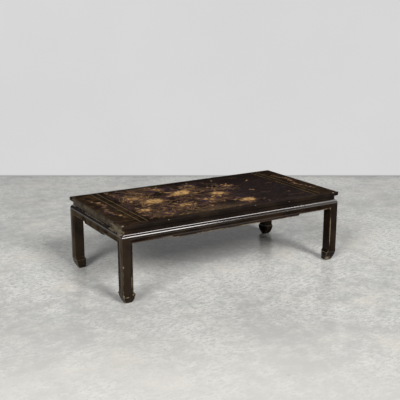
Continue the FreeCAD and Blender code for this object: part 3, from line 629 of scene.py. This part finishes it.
class Grow(Nodes):
    """A Geometry Nodes tree with named inputs that draws on the top and ends in plain painted faces."""

    SOCKETS = {float: "NodeSocketFloat", int: "NodeSocketInt", bpy.types.Material: "NodeSocketMaterial"}
    SINK = 0.05 * MM

    def __init__(self, name, values):
        super().__init__(bpy.data.node_groups.new(name, "GeometryNodeTree"))
        self.values = values
        sockets = self.tree.interface
        sockets.new_socket("Geometry", in_out="INPUT", socket_type="NodeSocketGeometry")
        for label, value in values.items():
            sockets.new_socket(label, in_out="INPUT", socket_type=self.SOCKETS[type(value)])
        sockets.new_socket("Geometry", in_out="OUTPUT", socket_type="NodeSocketGeometry")
        self.source = self.make("NodeGroupInput")

    def given(self, name):
        return Wire(self, self.source.outputs[name])

    def named(self, name):
        return self.add("GeometryNodeInputNamedAttribute", [name], data_type="FLOAT")

    def stored(self, geometry, name, value, domain="POINT"):
        inputs = {"Geometry": geometry, "Name": name, "Value": value}
        return self.add("GeometryNodeStoreNamedAttribute", inputs, data_type="FLOAT", domain=domain)

    def chance(self, low, high, seed):
        """A random number for each point. The node keeps the inputs for plain numbers at 2, 3 and 8."""
        return self.add("FunctionNodeRandomValue", {2: low, 3: high, 8: seed}, out=1, data_type="FLOAT")

    def vector(self, x=0.0, y=0.0, z=0.0):
        return self.add("ShaderNodeCombineXYZ", [x, y, z])

    def place(self):
        """The x, y and z of each point."""
        return self.axes(self.add("GeometryNodeInputPosition"))

    def moved(self, geometry, place):
        return self.add("GeometryNodeSetPosition", {"Geometry": geometry, "Position": place})

    def realized(self, geometry):
        return self.add("GeometryNodeRealizeInstances", [geometry])

    def joined(self, *parts):
        node = self.make("GeometryNodeJoinGeometry")
        for part in reversed(parts):
            self.fill(node.inputs[0], part)
        return Wire(self, node.outputs[0])

    def blade(self, belly):
        """A closed leaf of size 1 along +x from the origin, fullest past its middle if belly is over 1."""
        sizes = {"Size X": 1.0, "Size Y": 1.0, "Vertices X": 6, "Vertices Y": 3}
        grid = self.add("GeometryNodeMeshGrid", sizes)
        x, y, _ = self.place()
        along = x + 0.5
        fullness = self.math("SINE", self.math("POWER", along, belly) * math.pi)
        across = y * fullness
        crown = (1.0 - y * y * 4.0) * fullness
        upper = self.moved(grid, self.vector(along, across, crown))
        lower = self.add("GeometryNodeFlipFaces", [self.moved(grid, self.vector(along, across))])
        inputs = {"Geometry": self.joined(upper, lower), "Distance": 0.002}
        return self.add("GeometryNodeMergeByDistance", inputs)

    def planted(self, points, shape, turn, length, breadth, relief):
        """A shape on each point, turned about the upright."""
        turn = self.add("FunctionNodeEulerToRotation", [self.vector(0.0, 0.0, turn)])
        scale = self.vector(length, breadth, relief)
        inputs = {"Points": points, "Instance": shape, "Rotation": turn, "Scale": scale}
        return self.add("GeometryNodeInstanceOnPoints", inputs)

    def end(self, geometry):
        """Ends the tree in painted faces that are sunk a hair into the lacquer."""
        x, y, z = self.place()
        faces = self.moved(self.realized(geometry), self.vector(x, y, z - self.SINK))
        inputs = {"Geometry": faces, "Material": self.given("Paint")}
        self.make("NodeGroupOutput", [self.add("GeometryNodeSetMaterial", inputs)])
        return self

    def draw(self, name, mesh):
        """Runs the tree on a mesh of places and seats the plain piece that it gives."""
        piece = new_piece(name, mesh)
        modifier = piece.modifiers.new(self.tree.name, "NODES")
        modifier.node_group = self.tree
        for item in self.tree.interface.items_tree:
            if item.in_out == "INPUT" and item.name in self.values:
                modifier[item.identifier] = self.values[item.name]
        piece = settle(piece, name)
        piece.data.shade_flat()
        seat(piece)


def stroke_tree(values):
    """Brush lines that follow the edges of a mesh, as wide as each point says."""
    grow = Grow("painted_strokes", values)
    line = grow.add("GeometryNodeMeshToCurve", [grow.given("Geometry")])
    line = grow.add("GeometryNodeSetCurveNormal", [line], mode="Z_UP")
    sizes = {"Bottom Width": 1.0, "Top Width": 0.7, "Offset": 0.0, "Height": 1.0}
    section = grow.add("GeometryNodeCurvePrimitiveQuadrilateral", sizes, mode="TRAPEZOID")
    inputs = {"Curve": line, "Profile Curve": section, "Scale": grow.named("width"), "Fill Caps": True}
    faces = grow.add("GeometryNodeCurveToMesh", inputs)
    x, y, z = grow.place()
    rise = grow.math("MAXIMUM", grow.math("MINIMUM", z - TOP, grow.given("Relief")), 0.0)
    return grow.end(grow.moved(faces, grow.vector(x, y, TOP + rise)))


def mark_tree(values):
    """Single brush marks: leaves, grass, wings and dots, each turned and sized by its point."""
    grow = Grow("painted_marks", values)
    sizes = (grow.named("turn"), grow.named("length"), grow.named("breadth"), grow.given("Relief"))
    return grow.end(grow.planted(grow.given("Geometry"), grow.blade(1.0), *sizes))


def leaf_tree(values):
    """Leaves left and right along the stems, with a chance turn, size and tone."""
    grow = Grow("painted_leaves", values)
    stems = grow.add("GeometryNodeMeshToCurve", [grow.given("Geometry")])
    inputs = {"Curve": stems, "Length": grow.given("Spacing")}
    points, tangent, *_ = grow.split("GeometryNodeCurveToPoints", inputs, mode="LENGTH")
    run_x, run_y, _ = grow.axes(tangent)
    heading = grow.math("ARCTAN2", run_y, run_x)
    side = grow.math("MODULO", grow.add("GeometryNodeInputIndex"), 2.0) * 2.0 - 1.0
    turn = heading + side * grow.chance(0.35, 1.15, grow.given("Seed"))
    length = grow.given("Leaf length") * grow.chance(0.6, 1.25, 3)
    breadth = length * grow.chance(0.26, 0.42, 7)
    dots = grow.stored(points, "tone", grow.chance(0.0, 0.78, 5))
    return grow.end(grow.planted(dots, grow.blade(0.85), turn, length, breadth, grow.given("Relief")))


def blossom_tree(values):
    """Open flowers seen from above: rings of slender petals that overlap inwards, as large as each point says."""
    grow = Grow("painted_blossoms", values)
    petal = grow.blade(1.35)
    rings = (
        # Number of petals, where they start, their length and breadth, and the ring's turn
        (17, 0.36, 0.64, 0.27, 0.0),
        (13, 0.2, 0.6, 0.3, 0.3),
        (9, 0.06, 0.5, 0.32, 0.7),
        (6, 0.0, 0.32, 0.26, 0.2),
    )
    parts = []
    for level, (count, start, length, breadth, turn) in enumerate(rings):
        ring = grow.add("GeometryNodeMeshCircle", {"Vertices": count, "Radius": start})
        x, y, _ = grow.place()
        petals = grow.planted(ring, petal, grow.math("ARCTAN2", y, x), length, breadth, 1.0 + 0.6 * level)
        petals = grow.stored(petals, "ring", 0.2 * level + grow.chance(-0.16, 0.16, count), "INSTANCE")
        inputs = {"Geometry": grow.realized(petals), "Rotation": (0.0, 0.0, turn)}
        parts.append(grow.add("GeometryNodeTransform", inputs))
    sizes = (grow.named("turn"), grow.named("length"), grow.named("breadth"), grow.given("Relief"))
    flowers = grow.realized(grow.planted(grow.given("Geometry"), grow.joined(*parts), *sizes))
    return grow.end(grow.stored(flowers, "tone", grow.named("tone") + grow.named("ring")))


class Places:
    """Points on the top, with the numbers that a tree reads from them. Places are given in millimetres."""

    def __init__(self, *numbers):
        self.points = []
        self.edges = []
        self.numbers = {name: [] for name in numbers}

    def add(self, place, **numbers):
        self.points.append((place[0] * MM, place[1] * MM, TOP))
        for name, values in self.numbers.items():
            values.append(numbers[name])

    def line(self, places, widths, tone, closed=False):
        """A run of points joined by edges, its widths in millimetres."""
        first = len(self.points)
        for place, width in zip(places, widths):
            self.add(place, width=width * MM, tone=tone)
        last = len(self.points) - 1
        self.edges.extend((number, number + 1) for number in range(first, last))
        if closed:
            self.edges.append((last, first))

    def mark(self, place, turn, length, breadth, tone):
        """One mark, its length and breadth in millimetres."""
        self.add(place, turn=turn, length=length * MM, breadth=breadth * MM, tone=tone)

    def mesh(self, name):
        mesh = bpy.data.meshes.new(name)
        mesh.from_pydata(self.points, self.edges, [])
        for number, values in self.numbers.items():
            mesh.attributes.new(number, "FLOAT", "POINT").data.foreach_set("value", values)
        return mesh


def border_lines(painting):
    """The thin line round the top and the pairs of lines that set off the end reserves."""
    lines = Places("width", "tone")
    width = painting.line_width / MM
    far_x = (HALF_LENGTH - painting.border_inset) / MM
    far_y = (HALF_WIDTH - painting.border_inset) / MM
    rim = [(-far_x, -far_y), (far_x, -far_y), (far_x, far_y), (-far_x, far_y)]
    lines.line(rim, [width * 0.7 * math.sqrt(2)] * 4, 0.3, closed=True)
    for side in (-1, 1):
        for distance in (painting.reserve_line, painting.panel_line):
            x = side * distance / MM
            lines.line([(x, -far_y + width), (x, far_y - width)], [width, width], 0.6)
        inner = side * (painting.reserve_line + painting.panel_line) / 2 / MM
        lines.line([(inner, -far_y + width), (inner, far_y - width)], [width * 0.3] * 2, 0.1)
    return lines


def wander(chance, start, heading, length, bend, steps):
    """Points of a line that wavers as a branch does, and its last heading."""
    x, y = start
    points = [(x, y)]
    for _ in range(steps):
        heading += chance.gauss(0, bend)
        x += math.cos(heading) * length / steps
        y += math.sin(heading) * length / steps
        points.append((x, y))
    return points, heading


def tapered(first, last, count):
    return [first + (last - first) * number / (count - 1) for number in range(count)]


def part_way(start, end, share):
    return [first + (last - first) * share for first, last in zip(start, end)]


def gone(place, heading, distance):
    return place[0] + math.cos(heading) * distance, place[1] + math.sin(heading) * distance


class Picture:
    """A flowering branch over a garden rock, with bamboo, blooms, grasses and butterflies.

    Places, sizes and widths are in millimetres from the middle of the top, and turns in radians.
    """

    TRUNK = ((-452, -262), (-415, -222), (-398, -180), (-352, -150), (-318, -98), (-262, -78), (-205, -30),
             (-150, -22), (-92, 22), (-30, 34), (38, 74), (105, 82), (172, 122))
    SECOND = ((-398, -180), (-330, -196), (-270, -176), (-206, -190), (-140, -160), (-70, -170), (-10, -140),
              (60, -150))
    ROCK = ((-452, 20), (-436, 92), (-404, 150), (-362, 176), (-330, 158), (-300, 190), (-262, 176), (-248, 120),
            (-272, 78), (-258, 34), (-302, 2), (-356, -20), (-410, -16))
    BAMBOO = ((-440, 268), (-380, 272), (-318, 262), (-250, 270))
    # Place, heading and size
    BUTTERFLIES = ((252, -42, 0.7, 20), (352, 142, 2.4, 17), (396, -168, 1.2, 15), (180, 232, 2.9, 14))
    # Middle and spread
    THICKETS = (((-236, 96), 34), ((-120, -30), 40), ((-262, -206), 34), ((-20, 130), 30), ((-130, -214), 32),
                ((30, -126), 28), ((-410, 210), 26), ((150, 30), 24))
    # Root and heading
    SPRAYS = (((-388, -60), 0.5), ((-60, 150), -0.3), ((-220, -236), 0.75), ((70, 60), 0.35), ((-330, 226), -0.35))
    # Place, size and the side that the trail leaves by
    CLOUDS = ((310, 228, 20, 1), (420, 46, 17, -1), (300, -118, 15, 1), (238, 66, 13, -1), (418, -240, 18, 1))
    RESERVE_MIDDLE = 549
    # Half the main panel's width and length, which marks keep within
    HIGH = 286
    WIDE = 466
    WHOLE_TURN = 6.28

    def __init__(self, seed):
        self.chance = random.Random(seed)
        self.between = self.chance.uniform
        self.strokes = Places("width", "tone")
        self.stems = Places("width", "tone")
        self.marks = Places("turn", "length", "breadth", "tone")
        self.flowers = Places("turn", "length", "breadth", "tone")

    def inside(self, place, margin):
        return abs(place[0]) < self.WIDE - margin and abs(place[1]) < self.HIGH - margin

    def kept(self, points, margin):
        """The first points of a line, up to where it would leave the panel."""
        held = []
        for point in points:
            if not self.inside(point, margin):
                break
            held.append(point)
        return held

    def stroke(self, points, first, last, tone):
        self.strokes.line(points, tapered(first, last, len(points)), tone)

    def flower(self, place, reach, breadth, most_tone):
        self.flowers.mark(place, self.between(0, self.WHOLE_TURN), reach, breadth, self.between(0.0, most_tone))

    def twig(self, start, heading, length):
        points, _ = wander(self.chance, start, heading, length, 0.22, 7)
        points = self.kept(points, 12)
        if len(points) < 3:
            return
        self.stroke(points, 2.8, 1.0, self.between(0.2, 0.7))
        self.stems.line(points, [1] * len(points), 0)
        for point in points[2:]:
            if self.chance.random() < 0.09:
                reach = self.between(11, 17)
                self.flower(point, reach, reach, 0.35)

    def limb(self, places, first, last, side_length):
        """A main branch: a thick wavering line with a lit edge, and twigs that leave it both ways."""
        points = []
        for start, end in zip(places, places[1:]):
            for share in (0.0, 0.34, 0.67):
                x, y = part_way(start, end, share)
                points.append((x, y + self.between(-4, 4)))
        points.append(places[-1])
        widths = [width * self.between(0.8, 1.25) for width in tapered(first, last, len(points))]
        self.strokes.line(points, widths, 0.15)
        lit = [(x - 1.2, y + width * 0.42) for (x, y), width in zip(points, widths)]
        self.strokes.line(lit, [max(0.8, width * 0.22) for width in widths], 0.9)
        for number, point in enumerate(points[2:-1]):
            side = 1 if number % 2 else -1
            ahead = points[number + 3]
            heading = math.atan2(ahead[1] - point[1], ahead[0] - point[0])
            self.twig(point, heading + side * self.between(0.5, 1.25), self.between(0.55, 1.2) * side_length)

    def garden_rock(self):
        """Rock with contour lines inside its outline and dots of moss."""
        middle = [sum(values) / len(values) for values in zip(*self.ROCK)]
        for ring in range(5):
            share = 1 - 0.17 * ring
            points = []
            for start, end in zip(self.ROCK, (*self.ROCK[1:], self.ROCK[0])):
                for step in (0.0, 0.5):
                    spot = part_way(middle, part_way(start, end, step), share)
                    points.append([value + self.between(-5, 5) for value in spot])
            widths = [self.between(0.8, 3.4) for _ in points]
            self.strokes.line(points, widths, self.between(0.3, 1.0), closed=True)
            for point in points:
                if self.chance.random() < 0.75:
                    turn = self.chance.gauss(0.3, 0.5)
                    self.marks.mark(point, turn, self.between(10, 24), self.between(3, 6.5), self.chance.random())

    def bamboo(self):
        for foot in self.BAMBOO:
            points, _ = wander(self.chance, foot, -1.1 + self.between(-0.5, 0.5), 110, 0.06, 6)
            self.stroke(points, 3.0, 1.4, 0.6)
            for point in points:
                fan = self.between(-0.9, 0.5) - 0.8
                for number in range(5):
                    length = self.between(22, 40)
                    self.marks.mark(point, fan + 0.42 * number, length, length * 0.17, self.between(0.0, 0.8))

    def grasses(self):
        """Blades along the front, thickets of leaves, sprays of long stems and loose leaves over the left part."""
        for _ in range(150):
            x = self.chance.triangular(-462, 330, -330)
            y = -283 + abs(self.chance.gauss(0, 9))
            turn = math.pi / 2 + self.chance.gauss(0, 0.5)
            self.marks.mark((x, y), turn, self.between(8, 26), self.between(1.6, 3.2), self.chance.random())
        for middle, spread in self.THICKETS:
            for _ in range(34):
                place = (middle[0] + self.chance.gauss(0, spread), middle[1] + self.chance.gauss(0, spread * 0.8))
                if self.inside(place, 24):
                    length = self.between(10, 26)
                    turn = self.chance.gauss(0.5, 0.7)
                    self.marks.mark(place, turn, length, length * 0.36, self.between(0.1, 0.78))
        for root, heading in self.SPRAYS:
            for number in range(6):
                turn = heading + (number - 2.5) * 0.2 + self.between(-0.06, 0.06)
                points, _ = wander(self.chance, root, turn, self.between(90, 170), 0.07, 8)
                points = self.kept(points, 14)
                if len(points) > 2:
                    self.stroke(points, 4.0, 1.6, self.between(0.45, 0.75))
        for _ in range(120):
            place = (self.chance.gauss(-200, 190), self.chance.gauss(-20, 150))
            if self.inside(place, 24) and place[0] < 230:
                length = self.between(12, 30)
                turn = self.chance.gauss(0.1, 0.45)
                self.marks.mark(place, turn, length, length * 0.3, self.between(0, 0.75))

    def butterflies(self):
        for x, y, heading, size in self.BUTTERFLIES:
            for side in (-1, 1):
                self.marks.mark((x, y), heading + side * 1.05, size, size * 0.62, 0.8)
                self.marks.mark((x, y), heading + side * 2.15, size * 0.72, size * 0.5, 0.35)
                self.stroke([(x, y), gone((x, y), heading + side * 0.3, size * 0.8)], 0.8, 0.6, 0.8)
            self.marks.mark(gone((x, y), heading, -size * 0.45), heading, size * 0.9, size * 0.14, 0.1)

    def clouds(self):
        """Curls that open outwards, each with a level trail."""
        for x, y, size, side in self.CLOUDS:
            curl = []
            for number in range(22):
                angle = number * 0.42
                reach = size * (0.18 + number * 0.045)
                curl.append((x + math.cos(angle) * reach * 1.5, y + side * math.sin(angle) * reach * 0.7))
            self.stroke(curl, 0.8, 2.0, 0.35)
            x, y = curl[-1]
            trail = [(x - side * step * size * 0.32, y + math.sin(step * 0.7) * 2.5) for step in range(9)]
            self.stroke(trail, 2.0, 0.6, 0.35)

    def reserve(self, side):
        """Two small sprays that part from the middle of one end reserve."""
        middle = side * self.RESERVE_MIDDLE
        for way in (-1, 1):
            points = [(middle + way * 13 * math.sin(step / 2.4), way * (8 + 15 * step)) for step in range(12)]
            self.stroke(points, 4.5, 1.2, 0.5)
            self.stems.line(points, [1] * len(points), 0)
            for x, y in points[1:-2:2]:
                reach = self.between(9, 21)
                self.flower((x + self.between(-13, 13), y), reach, reach * 0.8, 0.3)

    def bloom(self, x, y, size, tone):
        """A large flower with leaves round it."""
        turn, breadth = self.between(-0.5, 0.5), size * self.between(0.6, 0.85)
        self.flowers.mark((x, y), turn, size * 1.12, breadth, tone)
        for _ in range(13):
            turn = self.between(0, self.WHOLE_TURN)
            place = gone((x, y), turn, size * self.between(0.45, 0.75))
            if self.inside(place, 40):
                reach = size * self.between(0.6, 1.05)
                self.marks.mark(place, turn, reach, reach * 0.3, self.between(0.2, 0.92))

    def compose(self):
        self.garden_rock()
        self.bamboo()
        self.limb(self.TRUNK, 11, 3, 78)
        self.limb(self.SECOND, 6, 2, 62)
        for bloom in BLOOMS:
            self.bloom(*bloom)
        self.grasses()
        self.butterflies()
        self.clouds()
        self.reserve(-1)
        self.reserve(1)


class TABLE_OT_painting(bpy.types.Operator):
    """Paints the border lines and the garden picture on the top in low relief"""

    bl_idname = "table.painting"
    bl_label = "Painting on the top"

    def execute(self, context):
        painting = context.scene.table_painting
        settings = context.scene.table_lacquer
        relief, seed = painting.relief, painting.seed
        gilt, red, olive, plum = painting.gilt, painting.red, painting.olive, painting.plum
        dull = scaled(gilt, 0.42)
        lines = paint("border_gilt", [settings.undercoat, painting.line_colour], 0.0, 0.5, settings)
        gilding = paint("branch_gilt", [red, dull, gilt], 0.15, 0.45, settings)
        leaves = paint("leaf_paint", [olive, dull, red, gilt], 0.0, 0.5, settings)
        petals = paint("petal_paint", [plum, red, dull, gilt, painting.highlight], 0.1, 0.45, settings)
        marks = paint("mark_paint", [olive, plum, red, dull, gilt], 0.0, 0.5, settings)
        picture = Picture(seed)
        picture.compose()
        sprigs = {"Relief": relief * 1.3, "Spacing": 7 * MM, "Leaf length": 17 * MM, "Seed": seed, "Paint": leaves}
        border = stroke_tree({"Relief": relief, "Paint": lines})
        branches = stroke_tree({"Relief": relief, "Paint": gilding})
        border.draw("painted_border", border_lines(painting).mesh("border"))
        branches.draw("painted_branches", picture.strokes.mesh("branches"))
        leaf_tree(sprigs).draw("painted_leaves", picture.stems.mesh("stems"))
        mark_tree({"Relief": relief * 1.5, "Paint": marks}).draw("painted_marks", picture.marks.mesh("marks"))
        blossoms = blossom_tree({"Relief": relief * 1.2, "Paint": petals})
        blossoms.draw("painted_blossoms", picture.flowers.mesh("flowers"))
        return {"FINISHED"}


class TABLE_OT_top(bpy.types.Operator):
    """Dresses the frame and the panel of the top"""

    bl_idname = "table.top"
    bl_label = "Top frame and panel"

    def execute(self, context):
        settings = context.scene.table_lacquer
        arrises = Arrises()
        ground = painted_ground("painted_ground", settings, context.scene.table_painting)
        rim = lacquer("rim_lacquer", settings, arris=True)
        side = lacquer("rail_lacquer", settings)
        # The left end's lacquer is browner, dustier and lighter: partly dust and fading, partly painted light and
        # sheen of the left side
        end = lacquer("rail_end_lacquer", settings, level=0.04, aged_and_lit=0.9, dusty_and_lit=0.75)
        for node in RAILS:
            name = node.replace("top_rail", "rail")
            piece = dress(node, name, arrises, [side, rim, ground, end], settings, plump_lip)
            for face in piece.data.polygons:
                if face.normal.z > 0.999 and face.center.z > TOP - 0.1 * MM:
                    face.material_index = FINE
                elif on_lit_dusty_end(face):
                    face.material_index = END
            seat(piece)
        for node in BOARDS:
            piece = dress(node, node.replace("top_board", "board"), arrises, [ground, ground], settings)
            seat(piece)
        return {"FINISHED"}


class TABLE_OT_carcass(bpy.types.Operator):
    """Dresses the waist, the aprons and the legs"""

    bl_idname = "table.carcass"
    bl_label = "Waist, aprons and legs"

    def execute(self, context):
        settings = context.scene.table_lacquer
        arrises = Arrises()
        sound = lacquer("frame_lacquer", settings)
        # Each leg's browning and dust, more on the left legs, is partly wear and partly painted light
        legs = {
            leg: lacquer(f"{leg}_lacquer", settings, aged_and_lit=aged_and_lit, dusty_and_lit=dusty_and_lit) for leg, (aged_and_lit, dusty_and_lit) in LEGS.items()
        }
        worn = lacquer("arris_lacquer", settings, arris=True)
        polished = lacquer("shoulder_lacquer", settings, ior=2.0, level=1.0, shine=0.05)
        # The left end's lacquer is browner, dustier and lighter: partly dust and fading, partly painted light and
        # sheen of the left side
        end = lacquer("end_lacquer", settings, level=0.06, aged_and_lit=0.8, dusty_and_lit=0.42)
        # The shoulder's round lies between these heights
        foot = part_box("waist_front")[0].z - 15 * MM
        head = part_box("apron_front")[1].z + 0.5 * MM
        for node in (*WAISTS, *APRONS, *LEGS):
            words = node.split("_")
            name = "_".join(words[1:] + words[:1])
            piece = dress(node, name, arrises, [legs.get(node, sound), worn, polished, end], settings)
            for face in piece.data.polygons:
                if node not in WAISTS and foot < face.center.z < head and 0.01 < face.normal.z < 0.97:
                    face.material_index = FINE
                elif on_lit_dusty_end(face):
                    face.material_index = END
            seat(piece)
        return {"FINISHED"}


class TABLE_OT_hardware(bpy.types.Operator):
    """Finishes the battens under the panel and the two nails in the waist"""

    bl_idname = "table.hardware"
    bl_label = "Battens and nails"

    def execute(self, context):
        wood = batten_wood("batten_wood")
        rusted = iron("nail_iron")
        for name in (*BATTENS, "waist_nails"):
            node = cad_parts[name]
            node.data.materials.clear()
            node.data.materials.append(wood if name in BATTENS else rusted)
            bpy.data.collections[PIECES].objects.link(node)
        return {"FINISHED"}


class TABLE_OT_stage(bpy.types.Operator):
    """Makes the floor, the back wall, the lamps and the camera"""

    bl_idname = "table.stage"
    bl_label = "Floor, wall, lamps and camera"

    # The camera as solved from the corners of the top and the feet in the photograph
    HEADING = math.radians(30.88)
    TILT = math.radians(14.567)
    CAMERA = Vector((-1.902, -3.125, 1.287))
    FLOOR_HALF = 9
    # The wall's distance from the camera's foot, its reach to each side and its height
    WALL_AWAY = 5.69
    WALL_LEFT = 2.2
    WALL_RIGHT = 9
    WALL_HEIGHT = 5
    # Height of the painted shade at the wall's foot
    SHADED_FOOT = 14 * MM
    # Name, place, target and size in metres
    LAMPS = (
        ("front", (1.05, -13.75, 9.7), (0.1, 0, 0.2), (5.0, 5.0)),
        ("left", (-8.4, -5.6, 6.6), (0, 0, 0.2), (3.4, 3.4)),
        ("overhead", (1.9, -1.25, 2.6), (1.9, -1.25, 0), (3.0, 0.9)),
        ("low_right", (1.3, -3.4, 0.64), (1.3, 0, 0.64), (1.25, 0.72)),
        ("behind", (4.4, 4.2, 0.9), (0, 0, 0.25), (2.4, 1.2)),
    )
    TURNS = {"overhead": 0.14}
    # The gloss lamps are seen only as highlights, and the table's lamps light nothing but the table
    GLOSS_LAMPS = ("overhead", "low_right")
    GLOSS_COLOUR = (1.0, 0.955, 0.935)
    TABLE_LAMPS = (*GLOSS_LAMPS, "behind")
    ROOM_COLOUR = (0.97, 0.98, 1.0, 1.0)
    ROOM_LIGHT = 0.04
    # Shares of the floor's red, green and blue in its warm clouds and in the pale patch at the front left, and
    # that patch's middle and radii. That patch is partly a cleaner floor and partly a painted pool of light
    WARM = (0.98, 0.93, 0.84)
    PALE = (1.17, 1.16, 1.14)
    SWEPT_AND_LIT = ((-1.35, -1.75, 0.0), (2.1, 1.7, 1.0))

    def sheet(self, name, corners, material):
        mesh = bpy.data.meshes.new(name)
        mesh.from_pydata(corners, [], [(0, 1, 2, 3)])
        mesh.materials.append(material)
        new_piece(name, mesh)

    def floor_finish(self, settings):
        """Polished concrete: cloudy, gritty, a little stained, with soft reflections, and a paler patch at the
        front left that is partly painted light. Clear from below.
        """
        light, dark, stain = (scaled(settings.floor, share) for share in (1.25, 0.75, 0.45))
        shade = Shade("floor_concrete", dark)
        cloud = shade.noise(1.3, 6.0, 0.6)
        blotch = shade.noise(13.0, 8.0, 0.75)
        trowel = shade.noise(70.0, 5.0, 0.8, shade.stretched(0.55, 1.0))
        grit = shade.noise(150.0, 4.0, 0.75)
        pits = shade.add("ShaderNodeTexVoronoi", {"Vector": shade.place, "Scale": 5.5})
        tone = cloud * 0.5 + blotch * 0.5
        shade.coat(light, tone, 0.38, 0.6)
        shade.coat(dark, trowel, 0.5, 0.57, 0.95)
        shade.coat(stain, blotch, 0.6, 0.76, 0.4)
        shade.coat(tinted(light, self.WARM), shade.noise(3.2, 5.0), 0.5, 0.7, 0.5)
        shade.cover(stain, 1.0 - shade.fade(pits, 0.02, 0.05))
        shade.coat(dark, grit, 0.52, 0.66, 0.85)
        shade.coat(stain, grit, 0.7, 0.8, 0.5)
        # Painted light: a paler patch at the front left, brighter as if more lit, and cleaner there too
        shade.coat(tinted(settings.floor, self.PALE), shade.patch(*self.SWEPT_AND_LIT), 0.0, 0.55, 0.6)
        relief = shade.bump(trowel + grit * 0.5, 0.8 * MM, 0.5)
        return shade.finish(0.12 + tone * 0.2, relief, Specular_IOR_Level=0.35, Alpha=shade.facing())

    def wall_finish(self, settings):
        """Pale plaster that shows only from the front, so that it hides no view and holds back no light. Its foot
        is darkened as painted shade along the floor.
        """
        shade = Shade("wall_plaster", scaled(settings.wall, 0.97))
        shade.coat(settings.wall, shade.noise(1.1, 4.0), 0.3, 0.7)
        _, _, z = shade.axes(shade.place)
        # Painted shade: the wall darkens in the last few millimetres above the floor
        shade.cover(scaled(settings.wall, 0.55), 1.0 - shade.fade(z, 4 * MM, self.SHADED_FOOT))
        camera = shade.add("ShaderNodeLightPath", out="Is Camera Ray")
        mirror = shade.add("ShaderNodeLightPath", out="Is Glossy Ray")
        strength = shade.highest(camera, mirror * settings.mirrored_wall)
        glow = shade.add("ShaderNodeEmission", [shade.colour, strength])
        clear = shade.add("ShaderNodeBsdfTransparent")
        shown = shade.facing() * shade.highest(camera, mirror)
        shade.make("ShaderNodeOutputMaterial", [shade.add("ShaderNodeMixShader", [shown, clear, glow])])
        return shade.material

    def lamp(self, name, place, target, size, power):
        light = bpy.data.lights.new(name, "AREA")
        light.shape = "RECTANGLE"
        light.size, light.size_y = size
        light.energy = power
        lamp = new_piece(name, light)
        gloss = name in self.GLOSS_LAMPS
        if gloss:
            light.color = self.GLOSS_COLOUR
        lamp.visible_camera = False
        lamp.visible_diffuse = not gloss
        lamp.visible_glossy = gloss
        if name in self.TABLE_LAMPS:
            lamp.light_linking.receiver_collection = self.pieces
        lamp.location = place
        aim = (Vector(target) - Vector(place)).to_track_quat("-Z", "Y")
        lamp.rotation_euler = (aim @ Quaternion((0, 0, 1), self.TURNS.get(name, 0))).to_euler()

    def room(self, settings):
        """The faint light from all round, behind it the wall's colour for the camera."""
        world = bpy.data.worlds.new("room")
        world.use_nodes = True
        world.node_tree.nodes.clear()
        nodes = Nodes(world.node_tree)
        seen = nodes.add("ShaderNodeLightPath", out="Is Camera Ray")
        light = nodes.add("ShaderNodeBackground", [self.ROOM_COLOUR, self.ROOM_LIGHT])
        backdrop = nodes.add("ShaderNodeBackground", [(*settings.wall, 1.0), 1.0])
        nodes.make("ShaderNodeOutputWorld", [nodes.add("ShaderNodeMixShader", [seen, light, backdrop])])
        return world

    def stand(self, settings):
        camera = bpy.data.cameras.new("camera")
        camera.lens = settings.lens
        camera.sensor_width = 36
        stand = new_piece("camera", camera)
        stand.location = self.CAMERA
        stand.rotation_euler = (math.pi / 2 - self.TILT, 0, -self.HEADING)
        return stand

    def execute(self, context):
        settings = context.scene.table_stage
        heading = Vector((math.sin(self.HEADING), math.cos(self.HEADING), 0))
        across = Vector((heading.y, -heading.x, 0))
        foot = Vector((self.CAMERA.x, self.CAMERA.y, 0)) + heading * self.WALL_AWAY
        up = Vector((0, 0, self.WALL_HEIGHT))
        left, right = foot - across * self.WALL_LEFT, foot + across * self.WALL_RIGHT
        self.sheet("back_wall", [left, right, right + up, left + up], self.wall_finish(settings))
        half = self.FLOOR_HALF
        floor = [(-half, -half, 0), (half, -half, 0), (half, half, 0), (-half, half, 0)]
        self.sheet("floor", floor, self.floor_finish(settings))
        self.pieces = bpy.data.collections.new(PIECES)
        for name, place, target, size in self.LAMPS:
            self.lamp(name, place, target, size, getattr(settings, name))
        context.scene.world = self.room(settings)
        context.scene.camera = self.stand(settings)
        context.scene.view_settings.view_transform = "Standard"
        return {"FINISHED"}


OPERATORS = (TABLE_OT_stage, TABLE_OT_top, TABLE_OT_painting, TABLE_OT_carcass, TABLE_OT_hardware)


class TABLE_PT_sidebar(bpy.types.Panel):
    """Lists the sizes, colours and steps"""

    bl_idname = "TABLE_PT_sidebar"
    bl_label = "Low table"
    bl_space_type = "VIEW_3D"
    bl_region_type = "UI"
    bl_category = "Low table"

    def draw(self, context):
        layout = self.layout
        for group in (context.scene.table_lacquer, context.scene.table_painting, context.scene.table_stage):
            box = layout.box()
            for name in group.__annotations__:
                box.prop(group, name)
        for operator in OPERATORS:
            layout.operator(operator.bl_idname)


SETTINGS = {"table_lacquer": LacquerSettings, "table_painting": PaintingSettings, "table_stage": StageSettings}
CLASSES = (*SETTINGS.values(), *OPERATORS, TABLE_PT_sidebar)


def register():
    for item in CLASSES:
        bpy.utils.register_class(item)
    for name, group in SETTINGS.items():
        setattr(bpy.types.Scene, name, PointerProperty(type=group))


def unregister():
    for name in SETTINGS:
        delattr(bpy.types.Scene, name)
    for item in reversed(CLASSES):
        bpy.utils.unregister_class(item)


def main():
    register()
    for operator in OPERATORS:
        group, action = operator.bl_idname.split(".")
        getattr(getattr(bpy.ops, group), action)()


if __name__ == "__main__":
    main()
